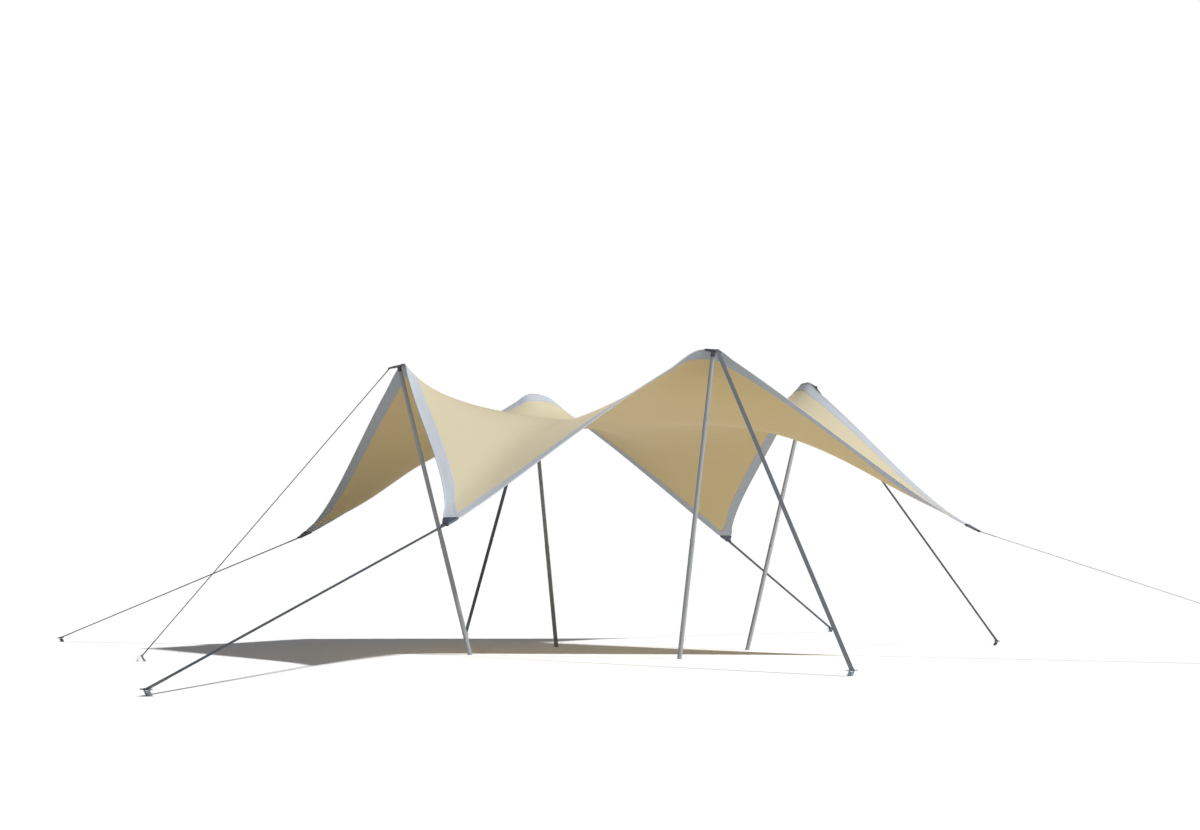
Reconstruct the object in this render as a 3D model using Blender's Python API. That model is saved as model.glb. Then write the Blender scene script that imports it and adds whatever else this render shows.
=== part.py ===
# Stretch tent: one tensioned sheet on four leaning poles, guyed to eight ground stakes.
# Metres, +Z up. The origin is on the ground under the middle of the sheet.
# The front pole stands at -Y, the right pole at +X.
import math

import bmesh
import bpy
import numpy as np
from mathutils import Matrix, Vector

# Driving dimensions of the sheet
SHEET_SIDE = 6.0
HEM_WIDTH = 0.12
SHEET_STRIPS = 16
FABRIC_THICKNESS = 0.003
HEM_THICKNESS = 0.005

# Where the sheet is held: four peaks at mid side, four low corners
PEAK_REACH = 2.375
PEAK_HEIGHT = 3.008
PEAK_SWING = math.radians(0.8)
CORNER_REACH = 3.82
CORNER_HEIGHT = 1.335
CORNER_TILT = math.radians(28)
POLE_LEAN = math.radians(14.6)
SIDE_POLE_LEAN = math.radians(14.95)

# The hem bends between a low corner and a peak towards these two points.
# They are metres out along the corner's bearing and sideways towards the peak.
HEM_LOW_BEND = (3.29, 0.28)
HEM_HIGH_BEND = (2.50, 1.09)
# Heights of the two bends. The sheet hangs a little unevenly, so they depend on
# the peak and on the turn from corner to peak, 1 anticlockwise or -1 clockwise.
FRONT_BACK_BENDS = {1: (1.59, 2.54), -1: (1.63, 2.45)}
SIDE_BENDS = {1: (1.61, 2.43), -1: (1.75, 2.38)}
HEM_SAMPLES = 200

# Pull in the fabric beside the even pull of the weave, as a share of it
CORNER_PULL = 3.56
CORNER_PULL_SPREAD = 0.14
PEAK_PULL = 0.66
PEAK_PULL_SPREAD = 0.18
CROWN_LIFT = 0.21

# Slack fabric beside the hem from the front right corner to the front peak, and its
# opposite: how deep it hangs, and where, from the low corner and in from the hem
BELLY_DROP = 0.045
BELLY_FROM_CORNER = 0.7
BELLY_FROM_HEM = 0.35

# Where the fabric's corner ends inside a low plate, out and anticlockwise of the jaw
CORNER_TIP = (-0.098, 0.023)

# Clamp plate, a fan from the sheet to a forked nose
PLATE_LENGTH = 0.150
PLATE_HALF_WIDTH = 0.074
PLATE_THICKNESS = 0.016
PLATE_SHOULDER = 0.028
NOSE_HALF_WIDTH = 0.0315
NOSE_START = 0.128
FORK_HALF_GAP = 0.0245
FORK_DEPTH = 0.024
PIN_RADIUS = 0.004
PIN_FROM_END = 0.007
PLATE_EDGE_ROUNDING = 0.002
POLE_SEAT = 0.045

# Telescoping pole, lower section outermost
TUBE_WALL = 0.0012
LOWER_RADIUS = 0.024
MIDDLE_RADIUS = 0.0225
UPPER_RADIUS = 0.021
UPPER_SHOWN = 0.62
MIDDLE_SHOWN = 1.26
TUBE_OVERLAP = 0.15
FOOT_PLUG = 0.02
TUBE_SIDES = 24

# Turned head under the peak plate
HEAD_FLANGE_RADIUS = 0.023
HEAD_FLANGE = 0.005
HEAD_NECK_RADIUS = 0.0205
HEAD_NECK_TOP = 0.012
HEAD_NECK_END = 0.022
HEAD_SHOULDER = 0.044
HEAD_COLLAR_END = 0.050
HEAD_SPIGOT_END = 0.090

# Webbing guys
STRAP_WIDTH = 0.045
STRAP_THICKNESS = 0.002
EYE_RADIUS = 0.0065
EYE_STEPS = 8
EYE_OPENING = math.radians(60)

# Ground stakes, a cross bar on a folded blade that leans away from the tent
STAKE_LEAN = math.radians(35)
STAKE_BAR_HEIGHT = 0.050
STAKE_BAR_RADIUS = 0.005
STAKE_BAR_LENGTH = 0.110
BLADE_HALF_WIDTH = 0.0285
BLADE_THICKNESS = 0.005
BLADE_FOLD = 0.35
WINDOW_HALF_WIDTH = 0.024
WINDOW_DROP = 0.011
BAR_SIDES = 16

# Stakes are set by eye: reach from the middle in metres, swing in degrees off the plate's bearing
STAKES = {
    "front_left": (7.75, -2.17),
    "front": (4.95, 0.3),
    "front_right": (7.54, -2.0),
    "right": (4.95, 1.0),
    "back_right": (7.75, -2.17),
    "back": (4.95, 0.3),
    "back_left": (7.54, -2.0),
    "left": (4.95, 1.0),
}
RING = list(STAKES)
RING_START = 225.0
RING_STEP = 45.0

GAP = 0.0003
SEAM_GAP = 0.0004
SHEET_SMOOTH_BELOW = 30
TURNED_SMOOTH_BELOW = 30
STRAP_SMOOTH_BELOW = 35
BEVEL_ABOVE = math.radians(60)

FABRIC = ("sand_fabric", (0.62, 0.55, 0.37), 0.85, 0.0)
HEM = ("grey_hem", (0.55, 0.57, 0.60), 0.75, 0.0)
CASTING = ("slate_casting", (0.07, 0.09, 0.12), 0.5, 0.3)
ALUMINIUM = ("satin_aluminium", (0.60, 0.62, 0.64), 0.35, 1.0)
HEAD = ("dark_head", (0.05, 0.055, 0.06), 0.5, 0.0)
WEBBING = ("slate_webbing", (0.12, 0.14, 0.16), 0.8, 0.0)
STEEL = ("stake_steel", (0.28, 0.31, 0.34), 0.45, 0.8)


def clear_scene():
    for old in list(bpy.data.objects):
        bpy.data.objects.remove(old, do_unlink=True)


def material(spec):
    name, colour, roughness, metallic = spec
    found = bpy.data.materials.get(name)
    if found:
        return found
    made = bpy.data.materials.new(name)
    made.use_nodes = True
    shader = made.node_tree.nodes["Principled BSDF"]
    shader.inputs["Base Color"].default_value = (*colour, 1.0)
    shader.inputs["Roughness"].default_value = roughness
    shader.inputs["Metallic"].default_value = metallic
    return made


def mesh_from(name, verts, faces, spec, smooth_below=None):
    """A closed mesh with its faces turned outwards and its material in the first slot."""
    mesh = bpy.data.meshes.new(name)
    mesh.from_pydata([tuple(v) for v in verts], [], faces)
    bm = bmesh.new()
    bm.from_mesh(mesh)
    bmesh.ops.recalc_face_normals(bm, faces=bm.faces)
    bm.to_mesh(mesh)
    bm.free()
    mesh.materials.append(material(spec))
    if smooth_below is not None:
        mesh.shade_smooth()
        mesh.set_sharp_from_angle(angle=math.radians(smooth_below))
    return mesh


def place(name, mesh, matrix=None, parent=None):
    node = bpy.data.objects.new(name, mesh)
    bpy.context.scene.collection.objects.link(node)
    node.parent = parent
    if matrix is not None:
        node.matrix_local = matrix
    return node


def bearing(k):
    return math.radians(RING_START + RING_STEP * k)


def is_peak(k):
    return k % 2 == 1


def plate_bearing(k):
    """The front and back poles stand a little anticlockwise of their bearings."""
    return bearing(k) + (PEAK_SWING if RING[k] in ("front", "back") else 0.0)


def outward(angle):
    return Vector((math.cos(angle), math.sin(angle), 0.0))


def tilted_frame(angle, origin, tilt):
    """Local x points outwards and dips by tilt, y runs anticlockwise, z is the upper face's normal."""
    turn = Matrix.Rotation(angle, 4, "Z")
    dip = Matrix.Rotation(tilt, 4, "Y")
    return Matrix.Translation(origin) @ turn @ dip


def pole_lean(k):
    return POLE_LEAN if RING[k] in ("front", "back") else SIDE_POLE_LEAN


def plate_frame(k):
    if is_peak(k):
        angle = plate_bearing(k)
        origin = outward(angle) * PEAK_REACH + Vector((0, 0, PEAK_HEIGHT))
        return tilted_frame(angle, origin, pole_lean(k))
    origin = outward(bearing(k)) * CORNER_REACH + Vector((0, 0, CORNER_HEIGHT))
    return tilted_frame(bearing(k), origin, CORNER_TILT)


# The sheet: a square net that finds its own shape between the hem's curves and the clamp plates

def sheet_marks():
    """Places of the net's lines along one side of the flat sheet."""
    strips = np.linspace(HEM_WIDTH, SHEET_SIDE / 2 - PLATE_HALF_WIDTH, SHEET_STRIPS + 1)
    half = np.concatenate([[0.0], strips])
    return np.concatenate([half, [SHEET_SIDE / 2], SHEET_SIDE - half[::-1]])


def ring_index(cells):
    """Net points round the sheet's edge, anticlockwise from the front left corner."""
    front = [(i, 0) for i in range(cells)]
    right = [(cells, j) for j in range(cells)]
    back = [(i, cells) for i in range(cells, 0, -1)]
    left = [(0, j) for j in range(cells, 0, -1)]
    return front + right + back + left


def plate_edge(k, step):
    """A point of plate k's inner edge: its clockwise end, middle or anticlockwise end."""
    return plate_frame(k) @ Vector((-GAP, step * PLATE_HALF_WIDTH, 0))


def hem_curve(corner, turn, fractions):
    """Points of the hem from a low corner's plate to the next peak's, turn 1 anticlockwise or -1."""
    peak = (corner + turn) % len(RING)
    heights = (FRONT_BACK_BENDS if RING[peak] in ("front", "back") else SIDE_BENDS)[turn]
    place_bend = Matrix.Rotation(bearing(corner), 4, "Z")
    bends = [
        place_bend @ Vector((out, turn * sideways, height))
        for (out, sideways), height in zip((HEM_LOW_BEND, HEM_HIGH_BEND), heights)
    ]
    ends = [plate_edge(corner, turn), plate_edge(peak, -turn)]
    start, low, high, end = [np.array(p) for p in (ends[0], *bends, ends[1])]
    t = np.linspace(0, 1, HEM_SAMPLES)[:, None]
    curve = (1 - t) ** 3 * start + 3 * (1 - t) ** 2 * t * low + 3 * (1 - t) * t ** 2 * high + t ** 3 * end
    run = np.concatenate([[0.0], np.cumsum(np.linalg.norm(np.diff(curve, axis=0), axis=1))])
    return np.stack([np.interp(fractions * run[-1], run, curve[:, axis]) for axis in range(3)], axis=1)


def held_points(marks):
    """Net points on the sheet's edge: in the plates' jaws and along the hem's curves."""
    cells = len(marks) - 1
    half = cells // 2
    ring = ring_index(cells)
    held = {}
    for k in range(len(RING)):
        for step in (-1, 0, 1):
            held[ring[(k * half + step) % len(ring)]] = np.array(plate_edge(k, step))
    fractions = (marks[1:half] - marks[1]) / (marks[half - 1] - marks[1])
    for corner in range(0, len(RING), 2):
        for turn in (1, -1):
            for step, point in enumerate(hem_curve(corner, turn, fractions), start=1):
                held[ring[(corner * half + turn * step) % len(ring)]] = point
    return held


def weave_links(marks):
    """Links along the weave with their pull per unit length."""
    gaps = np.diff(marks)
    share = np.convolve(gaps, [0.5, 0.5])
    for line in range(len(marks)):
        for cell, gap in enumerate(gaps):
            yield (cell, line), (cell + 1, line), share[line] / gap
            yield (line, cell), (line, cell + 1), share[line] / gap


def bias_links(marks):
    """Diagonal links: corner to corner over the crown, and from each peak to the next."""
    gaps = np.diff(marks)
    across = (marks[:-1] + marks[1:]) / SHEET_SIDE - 1
    for i, x in enumerate(across):
        for j, y in enumerate(across):
            scale = 2 * gaps[i] * gaps[j] / (gaps[i] ** 2 + gaps[j] ** 2)
            to_corner = CORNER_PULL * math.exp(-(((abs(x) - abs(y)) / CORNER_PULL_SPREAD) ** 2))
            to_peak = PEAK_PULL * math.exp(-(((abs(x) + abs(y) - 1) / PEAK_PULL_SPREAD) ** 2))
            rising = (i, j), (i + 1, j + 1)
            falling = (i + 1, j), (i, j + 1)
            towards_corner, towards_peak = (rising, falling) if x * y > 0 else (falling, rising)
            yield *towards_corner, to_corner * scale
            yield *towards_peak, to_peak * scale


def find_sheet():
    """Solve the net's balance of forces; returns its points and unit normals as grids."""
    marks = sheet_marks()
    size = len(marks)
    held = held_points(marks)
    balance = np.zeros((size * size, size * size))
    for (i, j), (p, q), pull in [*weave_links(marks), *bias_links(marks)]:
        a, b = i * size + j, p * size + q
        balance[a, a] += pull
        balance[b, b] += pull
        balance[a, b] -= pull
        balance[b, a] -= pull
    fixed = np.array([i * size + j for i, j in held])
    free = np.setdiff1d(np.arange(size * size), fixed)
    places = np.zeros((size * size, 3))
    places[fixed] = list(held.values())
    share = np.convolve(np.diff(marks), [0.5, 0.5])
    pulls = -balance[np.ix_(free, fixed)] @ places[fixed]
    pulls[:, 2] += CROWN_LIFT * np.outer(share, share).ravel()[free]
    places[free] = np.linalg.solve(balance[np.ix_(free, free)], pulls)
    points = places.reshape(size, size, 3)
    hang_bellies(points, marks)
    set_hem_width(points)
    set_corner_tips(points)
    normals = np.cross(np.gradient(points, axis=0), np.gradient(points, axis=1))
    ring = ring_index(size - 1)
    for k in range(len(RING)):
        up = plate_frame(k).to_3x3() @ Vector((0, 0, 1))
        for step in (-1, 0, 1):
            spot = ring[(k * (size - 1) // 2 + step) % len(ring)]
            normals[spot] = up
    normals /= np.linalg.norm(normals, axis=2, keepdims=True)
    return points, normals


def hang_bellies(points, marks):
    """Lower the slack fabric beside two opposite half hems below the taut net."""
    from_left, from_front = np.meshgrid(marks, marks, indexing="ij")
    beside_front = SHEET_SIDE - from_left, from_front
    beside_back = from_left, SHEET_SIDE - from_front
    for from_corner, from_hem in (beside_front, beside_back):
        along = (from_corner / BELLY_FROM_CORNER) ** 2
        inward = from_hem / BELLY_FROM_HEM
        points[:, :, 2] -= BELLY_DROP * along * np.exp(1 - along) * inward * np.exp(1 - inward)


def set_corner_tips(points):
    """Put the fabric's corners where the hems meet in front of the low plates."""
    last = len(points) - 1
    tips = ((1, 1), (last - 1, 1), (last - 1, last - 1), (1, last - 1))
    for k, tip in zip(range(0, len(RING), 2), tips):
        old = plate_frame(k).inverted() @ Vector(points[tip])
        points[tip] = plate_frame(k) @ Vector((*CORNER_TIP, old.z * CORNER_TIP[0] / old.x))


def set_hem_width(points):
    """Move the seam's net points so that the hem is one width all round."""
    last = len(points) - 1
    for line in range(2, last - 1):
        for spot, seam in (((line, 0), (line, 1)), ((line, last), (line, last - 1))):
            points[seam] = points[spot] + towards(points[spot], points[seam], HEM_WIDTH)
        for spot, seam in (((0, line), (1, line)), ((last, line), (last - 1, line))):
            points[seam] = points[spot] + towards(points[spot], points[seam], HEM_WIDTH)


def towards(start, end, distance):
    step = end - start
    return step * (distance / np.linalg.norm(step))


def shell_mesh(name, points, normals, faces, thickness, spec):
    """A thin closed solid round a patch of the sheet's middle surface, both skins split alike."""
    count = len(points)
    points, normals = np.array(points), np.array(normals)
    verts = np.concatenate([points + normals * thickness / 2, points - normals * thickness / 2])
    upper = [triangle for face in faces for triangle in split_face(face, points)]
    edges = {(a, b) for face in upper for a, b in zip(face, face[1:] + face[:1])}
    rim = [(b, a, a + count, b + count) for a, b in sorted(edges) if (b, a) not in edges]
    under = [[v + count for v in reversed(face)] for face in upper]
    return mesh_from(name, verts, upper + under + [list(f) for f in rim], spec, SHEET_SMOOTH_BELOW)


def split_face(face, points):
    """Two triangles from a four-sided face, along its shorter diagonal."""
    if len(face) == 3:
        return [face]
    a, b, c, d = face
    if np.linalg.norm(points[a] - points[c]) <= np.linalg.norm(points[b] - points[d]):
        return [[a, b, c], [a, c, d]]
    return [[a, b, d], [b, c, d]]


def build_canopy(points, normals):
    """The sand fabric inside the hem seam."""
    last = len(points) - 2
    number = {}
    verts, ups, faces = [], [], []
    for i in range(1, last + 1):
        for j in range(1, last + 1):
            spot = points[i, j].copy()
            inner = (min(max(i, 2), last - 1), min(max(j, 2), last - 1))
            if inner != (i, j):
                spot += towards(points[i, j], points[inner], SEAM_GAP)
            number[i, j] = len(verts)
            verts.append(spot)
            ups.append(normals[i, j])
    for i in range(1, last):
        for j in range(1, last):
            corners = [(i, j), (i + 1, j), (i + 1, j + 1), (i, j + 1)]
            faces.append([number[c] for c in corners])
    place("canopy", shell_mesh("canopy", verts, ups, faces, FABRIC_THICKNESS, FABRIC))


def build_hem(side, points, normals):
    """The grey band along one side, mitred at both low corners."""
    cells = len(points) - 1
    ring = ring_index(cells)
    inward = [(0, 1), (-1, 0), (0, -1), (1, 0)][side]
    outer = [ring[(side * cells + step) % len(ring)] for step in range(cells + 1)]
    inner = [(i + inward[0], j + inward[1]) for i, j in outer[1:-1]]
    verts, ups = [], []
    for step, spot in enumerate(outer):
        shift = np.zeros(3)
        if step == 0:
            shift = towards(points[spot], points[outer[1]], SEAM_GAP)
        if step == cells:
            shift = towards(points[spot], points[outer[-2]], SEAM_GAP)
        verts.append(points[spot] + shift)
        ups.append(normals[spot])
    for step, spot in enumerate(inner):
        shift = towards(points[spot], points[outer[step + 1]], SEAM_GAP)
        if step == 0:
            shift = shift + towards(points[spot], points[inner[1]], SEAM_GAP)
        if step == len(inner) - 1:
            shift = shift + towards(points[spot], points[inner[-2]], SEAM_GAP)
        verts.append(points[spot] + shift)
        ups.append(normals[spot])
    first_inner = len(outer)
    faces = [[0, 1, first_inner]]
    for step in range(len(inner) - 1):
        faces.append([step + 1, step + 2, first_inner + step + 1, first_inner + step])
    faces.append([cells - 1, cells, first_inner + len(inner) - 1])
    name = RING[2 * side + 1] + "_hem"
    place(name, shell_mesh(name, verts, ups, faces, HEM_THICKNESS, HEM))


# Clamp plates, heads, tubes, straps and stakes

def prism(name, outline, low, high, spec):
    """Extrude a flat outline between two heights."""
    count = len(outline)
    verts = [(x, y, low) for x, y in outline] + [(x, y, high) for x, y in outline]
    faces = [list(range(count)), list(range(count, 2 * count))]
    for a in range(count):
        b = (a + 1) % count
        faces.append([a, b, b + count, a + count])
    return mesh_from(name, verts, faces, spec)


def turned(name, profile, spec, sides):
    """Turn a profile of (radius, z) points, from axis to axis, about local z."""
    verts, rings, faces = [], [], []
    for radius, z in profile:
        if radius == 0:
            rings.append([len(verts)] * sides)
            verts.append((0, 0, z))
        else:
            rings.append([len(verts) + s for s in range(sides)])
            for s in range(sides):
                angle = 2 * math.pi * s / sides
                verts.append((radius * math.cos(angle), radius * math.sin(angle), z))
    for upper, lower in zip(rings, rings[1:]):
        for s in range(sides):
            t = (s + 1) % sides
            corners = []
            for v in (upper[s], upper[t], lower[t], lower[s]):
                if v not in corners:
                    corners.append(v)
            faces.append(corners)
    return mesh_from(name, verts, faces, spec, TURNED_SMOOTH_BELOW)


def join_solids(name, first, second, spec):
    """One closed body from two that overlap."""
    body = place(name + "_body", first)
    tool = place(name + "_tool", second)
    union = body.modifiers.new("union", "BOOLEAN")
    union.operation = "UNION"
    union.solver = "EXACT"
    union.object = tool
    bpy.context.view_layer.update()
    graph = bpy.context.evaluated_depsgraph_get()
    mesh = bpy.data.meshes.new_from_object(body.evaluated_get(graph))
    mesh.name = name
    mesh.materials.clear()
    mesh.materials.append(material(spec))
    bpy.data.objects.remove(body, do_unlink=True)
    bpy.data.objects.remove(tool, do_unlink=True)
    return mesh


def plate_mesh():
    """The fan with its forked nose and the pin across the fork."""
    half = [
        (0.0, PLATE_HALF_WIDTH - GAP),
        (PLATE_SHOULDER, PLATE_HALF_WIDTH - GAP),
        (NOSE_START, NOSE_HALF_WIDTH),
        (PLATE_LENGTH, NOSE_HALF_WIDTH),
        (PLATE_LENGTH, FORK_HALF_GAP),
        (PLATE_LENGTH - FORK_DEPTH, FORK_HALF_GAP),
    ]
    outline = half + [(x, -y) for x, y in reversed(half)]
    fan = prism("fan", outline, -PLATE_THICKNESS / 2, PLATE_THICKNESS / 2, CASTING)
    reach = NOSE_HALF_WIDTH - (NOSE_HALF_WIDTH - FORK_HALF_GAP) / 2
    pin = turned("pin", [(0, reach), (PIN_RADIUS, reach), (PIN_RADIUS, -reach), (0, -reach)], CASTING, BAR_SIDES)
    pin.transform(Matrix.Translation((PLATE_LENGTH - PIN_FROM_END, 0, 0)) @ Matrix.Rotation(math.pi / 2, 4, "X"))
    return join_solids("clamp_plate", fan, pin, CASTING)


def pole_seat(k):
    """Frame of the pole's top, square to the plate it carries; its z axis is the pole's axis."""
    return plate_frame(k) @ Matrix.Translation((POLE_SEAT, 0, -PLATE_THICKNESS / 2 - GAP))


def tube_mesh(name, radius, top, bottom, cut_to_ground=None):
    """An open tube; the lowest one is plugged and cut level with the ground."""
    bore = radius - TUBE_WALL
    if cut_to_ground is None:
        profile = [(bore, top), (radius, top), (radius, bottom), (bore, bottom), (bore, top)]
        return loop_of_revolution(name, profile)
    profile = [(0, bottom + FOOT_PLUG), (bore, bottom + FOOT_PLUG), (bore, top), (radius, top), (radius, bottom)]
    mesh = turned(name, profile + [(0, bottom)], ALUMINIUM, TUBE_SIDES)
    for vert in mesh.vertices:
        if abs(vert.co.z - bottom) < GAP:
            vert.co.z = cut_to_ground(vert.co.x)
    return mesh


def loop_of_revolution(name, profile):
    verts, faces = [], []
    rings = profile[:-1]
    for radius, z in rings:
        for s in range(TUBE_SIDES):
            angle = 2 * math.pi * s / TUBE_SIDES
            verts.append((radius * math.cos(angle), radius * math.sin(angle), z))
    for ring in range(len(rings)):
        below = (ring + 1) % len(rings)
        for s in range(TUBE_SIDES):
            t = (s + 1) % TUBE_SIDES
            rows = (ring * TUBE_SIDES, below * TUBE_SIDES)
            faces.append([rows[0] + s, rows[0] + t, rows[1] + t, rows[1] + s])
    return mesh_from(name, verts, faces, ALUMINIUM, TURNED_SMOOTH_BELOW)


def head_mesh():
    spigot = UPPER_RADIUS - TUBE_WALL - GAP
    profile = [
        (0, 0),
        (HEAD_FLANGE_RADIUS, 0),
        (HEAD_FLANGE_RADIUS, -HEAD_FLANGE),
        (HEAD_NECK_RADIUS, -HEAD_NECK_TOP),
        (HEAD_NECK_RADIUS, -HEAD_NECK_END),
        (UPPER_RADIUS, -HEAD_SHOULDER),
        (UPPER_RADIUS, -HEAD_COLLAR_END),
        (spigot, -HEAD_COLLAR_END),
        (spigot, -HEAD_SPIGOT_END),
        (0, -HEAD_SPIGOT_END),
    ]
    return turned("pole_head", profile, HEAD, TUBE_SIDES)


def lower_tube_mesh(k, top):
    """The lowest section of pole k, cut level with the ground."""
    slope = math.tan(pole_lean(k))
    ground = -pole_seat(k).translation.z / math.cos(pole_lean(k))
    return tube_mesh("lower_tube", LOWER_RADIUS, top, ground, lambda x: ground + x * slope)


def build_poles():
    head = head_mesh()
    upper_top = -HEAD_COLLAR_END - GAP
    upper_end = -UPPER_SHOWN
    middle_end = upper_end - MIDDLE_SHOWN
    upper = tube_mesh("upper_tube", UPPER_RADIUS, upper_top, upper_end - TUBE_OVERLAP)
    middle = tube_mesh("middle_tube", MIDDLE_RADIUS, upper_end, middle_end - TUBE_OVERLAP)
    for k in range(1, len(RING), 2):
        name = RING[k]
        axis = place(name + "_pole_axis", None, pole_seat(k))
        place(name + "_pole_head", head, parent=axis)
        place(name + "_pole_upper", upper, parent=axis)
        place(name + "_pole_middle", middle, parent=axis)
        place(name + "_pole_lower", lower_tube_mesh(k, middle_end), parent=axis)


def stake_mesh():
    """Folded blade with a window for the webbing, and the cross bar over it, on local x outwards."""
    shank = STAKE_BAR_HEIGHT / math.cos(STAKE_LEAN)
    mid_lug = (BLADE_HALF_WIDTH + WINDOW_HALF_WIDTH) / 2
    outline = [
        (0.0, shank - WINDOW_DROP),
        (WINDOW_HALF_WIDTH, shank - WINDOW_DROP),
        (WINDOW_HALF_WIDTH, shank),
        (BLADE_HALF_WIDTH, shank),
        (BLADE_HALF_WIDTH, 0.0),
        (0.0, 0.0),
    ]
    verts = []
    for sign in (1, -1):
        for face in (-BLADE_THICKNESS / 2, BLADE_THICKNESS / 2):
            for y, up in outline:
                across = face + BLADE_FOLD * (mid_lug - y)
                lean_x = across / math.cos(STAKE_LEAN) if up == 0 else across * math.cos(STAKE_LEAN)
                lean_z = 0.0 if up == 0 else -across * math.sin(STAKE_LEAN)
                x = up * math.sin(STAKE_LEAN) + lean_x
                verts.append((x, sign * y, up * math.cos(STAKE_LEAN) + lean_z))
    count = len(outline)
    faces = []
    for half in (0, 2):
        inner, outer = half * count, (half + 1) * count
        faces.append([inner + v for v in (0, 1, 4, 5)])
        faces.append([inner + v for v in (1, 2, 3, 4)])
        faces.append([outer + v for v in (0, 1, 4, 5)])
        faces.append([outer + v for v in (1, 2, 3, 4)])
        for a in range(count - 1):
            faces.append([inner + a, inner + a + 1, outer + a + 1, outer + a])
    blade = mesh_from("blade", verts, faces, STEEL)
    bm = bmesh.new()
    bm.from_mesh(blade)
    bmesh.ops.remove_doubles(bm, verts=bm.verts, dist=GAP / 10)
    bmesh.ops.recalc_face_normals(bm, faces=bm.faces)
    bm.to_mesh(blade)
    bm.free()
    half_bar = STAKE_BAR_LENGTH / 2
    ends = [(0, half_bar), (STAKE_BAR_RADIUS, half_bar), (STAKE_BAR_RADIUS, -half_bar), (0, -half_bar)]
    bar = turned("bar", ends, STEEL, BAR_SIDES)
    centre = Matrix.Translation((STAKE_BAR_HEIGHT * math.tan(STAKE_LEAN), 0, STAKE_BAR_HEIGHT))
    bar.transform(centre @ Matrix.Rotation(math.pi / 2, 4, "X"))
    return join_solids("stake", blade, bar, STEEL)


def strap_mesh(name, length):
    """Webbing along local x with a sewn eye at each end, its width along local y."""
    outer = EYE_RADIUS + STRAP_THICKNESS
    half = STRAP_THICKNESS / 2
    sweep = 2 * math.pi - 2 * EYE_OPENING
    angles = [EYE_OPENING + sweep * s / EYE_STEPS for s in range(EYE_STEPS + 1)]
    slope = (outer * math.sin(EYE_OPENING) - half) / math.cos(EYE_OPENING)
    join = outer * math.cos(EYE_OPENING) + slope * math.sin(EYE_OPENING)
    eye = [(EYE_RADIUS * math.cos(a), EYE_RADIUS * math.sin(a)) for a in angles]
    eye += [(outer * math.cos(a), outer * math.sin(a)) for a in angles]
    eye += [(EYE_RADIUS / math.cos(EYE_OPENING), 0.0), (join, half), (join, -half)]
    points = eye + [(length - x, z) for x, z in eye]
    size, rim = len(eye), EYE_STEPS + 1
    tip, above, below = 2 * rim, 2 * rim + 1, 2 * rim + 2
    flats = []
    for start in (0, size):
        for s in range(EYE_STEPS):
            flats.append([start + v for v in (s, s + 1, rim + s + 1, rim + s)])
        flats.append([start + v for v in (0, rim, above, tip)])
        flats.append([start + v for v in (EYE_STEPS, rim + EYE_STEPS, below, tip)])
    flats.append([above, tip, below, size + below, size + tip, size + above])
    edges = {}
    for flat in flats:
        for a, b in zip(flat, flat[1:] + flat[:1]):
            key = (min(a, b), max(a, b))
            edges[key] = edges.get(key, 0) + 1
    count = len(points)
    verts = [(x, -STRAP_WIDTH / 2, z) for x, z in points] + [(x, STRAP_WIDTH / 2, z) for x, z in points]
    faces = flats + [[v + count for v in flat] for flat in flats]
    faces += [[a, b, b + count, a + count] for (a, b), uses in edges.items() if uses == 1]
    return mesh_from(name, verts, faces, WEBBING, STRAP_SMOOTH_BELOW)


def build_guys():
    """Stake and strap of each plate; the strap is taut between the plate's pin and the stake's bar."""
    stake = stake_mesh()
    for k, name in enumerate(RING):
        reach, swing = STAKES[name]
        pin = plate_frame(k) @ Vector((PLATE_LENGTH - PIN_FROM_END, 0, 0))
        ground = outward(bearing(k) + math.radians(swing)) * reach
        away = math.atan2(ground.y - pin.y, ground.x - pin.x)
        place(name + "_stake", stake, Matrix.Translation(ground) @ Matrix.Rotation(away, 4, "Z"))
        bar = ground + outward(away) * STAKE_BAR_HEIGHT * math.tan(STAKE_LEAN)
        bar.z = STAKE_BAR_HEIGHT
        line = (bar - pin).normalized()
        skew = abs(math.sin(away - plate_bearing(k))) * STRAP_WIDTH / 2
        eye_step = (2 * math.pi - 2 * EYE_OPENING) / EYE_STEPS
        snug = EYE_RADIUS * math.cos(eye_step / 2) - GAP
        start = pin + line * max(0.0, snug - PIN_RADIUS - skew)
        end = bar - line * (snug - STAKE_BAR_RADIUS)
        dip = math.asin(-line.z)
        strap = strap_mesh(name + "_strap", (end - start).length)
        place(name + "_strap", strap, tilted_frame(away, start, dip))


def build_plates():
    plate = plate_mesh()
    for k, name in enumerate(RING):
        node = place(name + "_plate", plate, plate_frame(k))
        bevel = node.modifiers.new("cast_edges", "BEVEL")
        bevel.width = PLATE_EDGE_ROUNDING
        bevel.segments = 1
        bevel.limit_method = "ANGLE"
        bevel.angle_limit = BEVEL_ABOVE


def main():
    clear_scene()
    points, normals = find_sheet()
    build_canopy(points, normals)
    for side in range(4):
        build_hem(side, points, normals)
    build_plates()
    build_poles()
    build_guys()


main()
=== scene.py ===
# %% [markdown]
# A stretch tent is one sheet of sand-coloured fabric with a grey hem, pulled up
# at four leaning poles and down at four low corners, and guyed by webbing straps
# to ground stakes. The measured solids come first, as a fixed frame. Everything
# made below is dressed on that frame, in metres, with the ground at zero height.

# %% Load the measured frame
import math

import bmesh
import bpy
import numpy as np
from mathutils import Matrix, Vector


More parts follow.
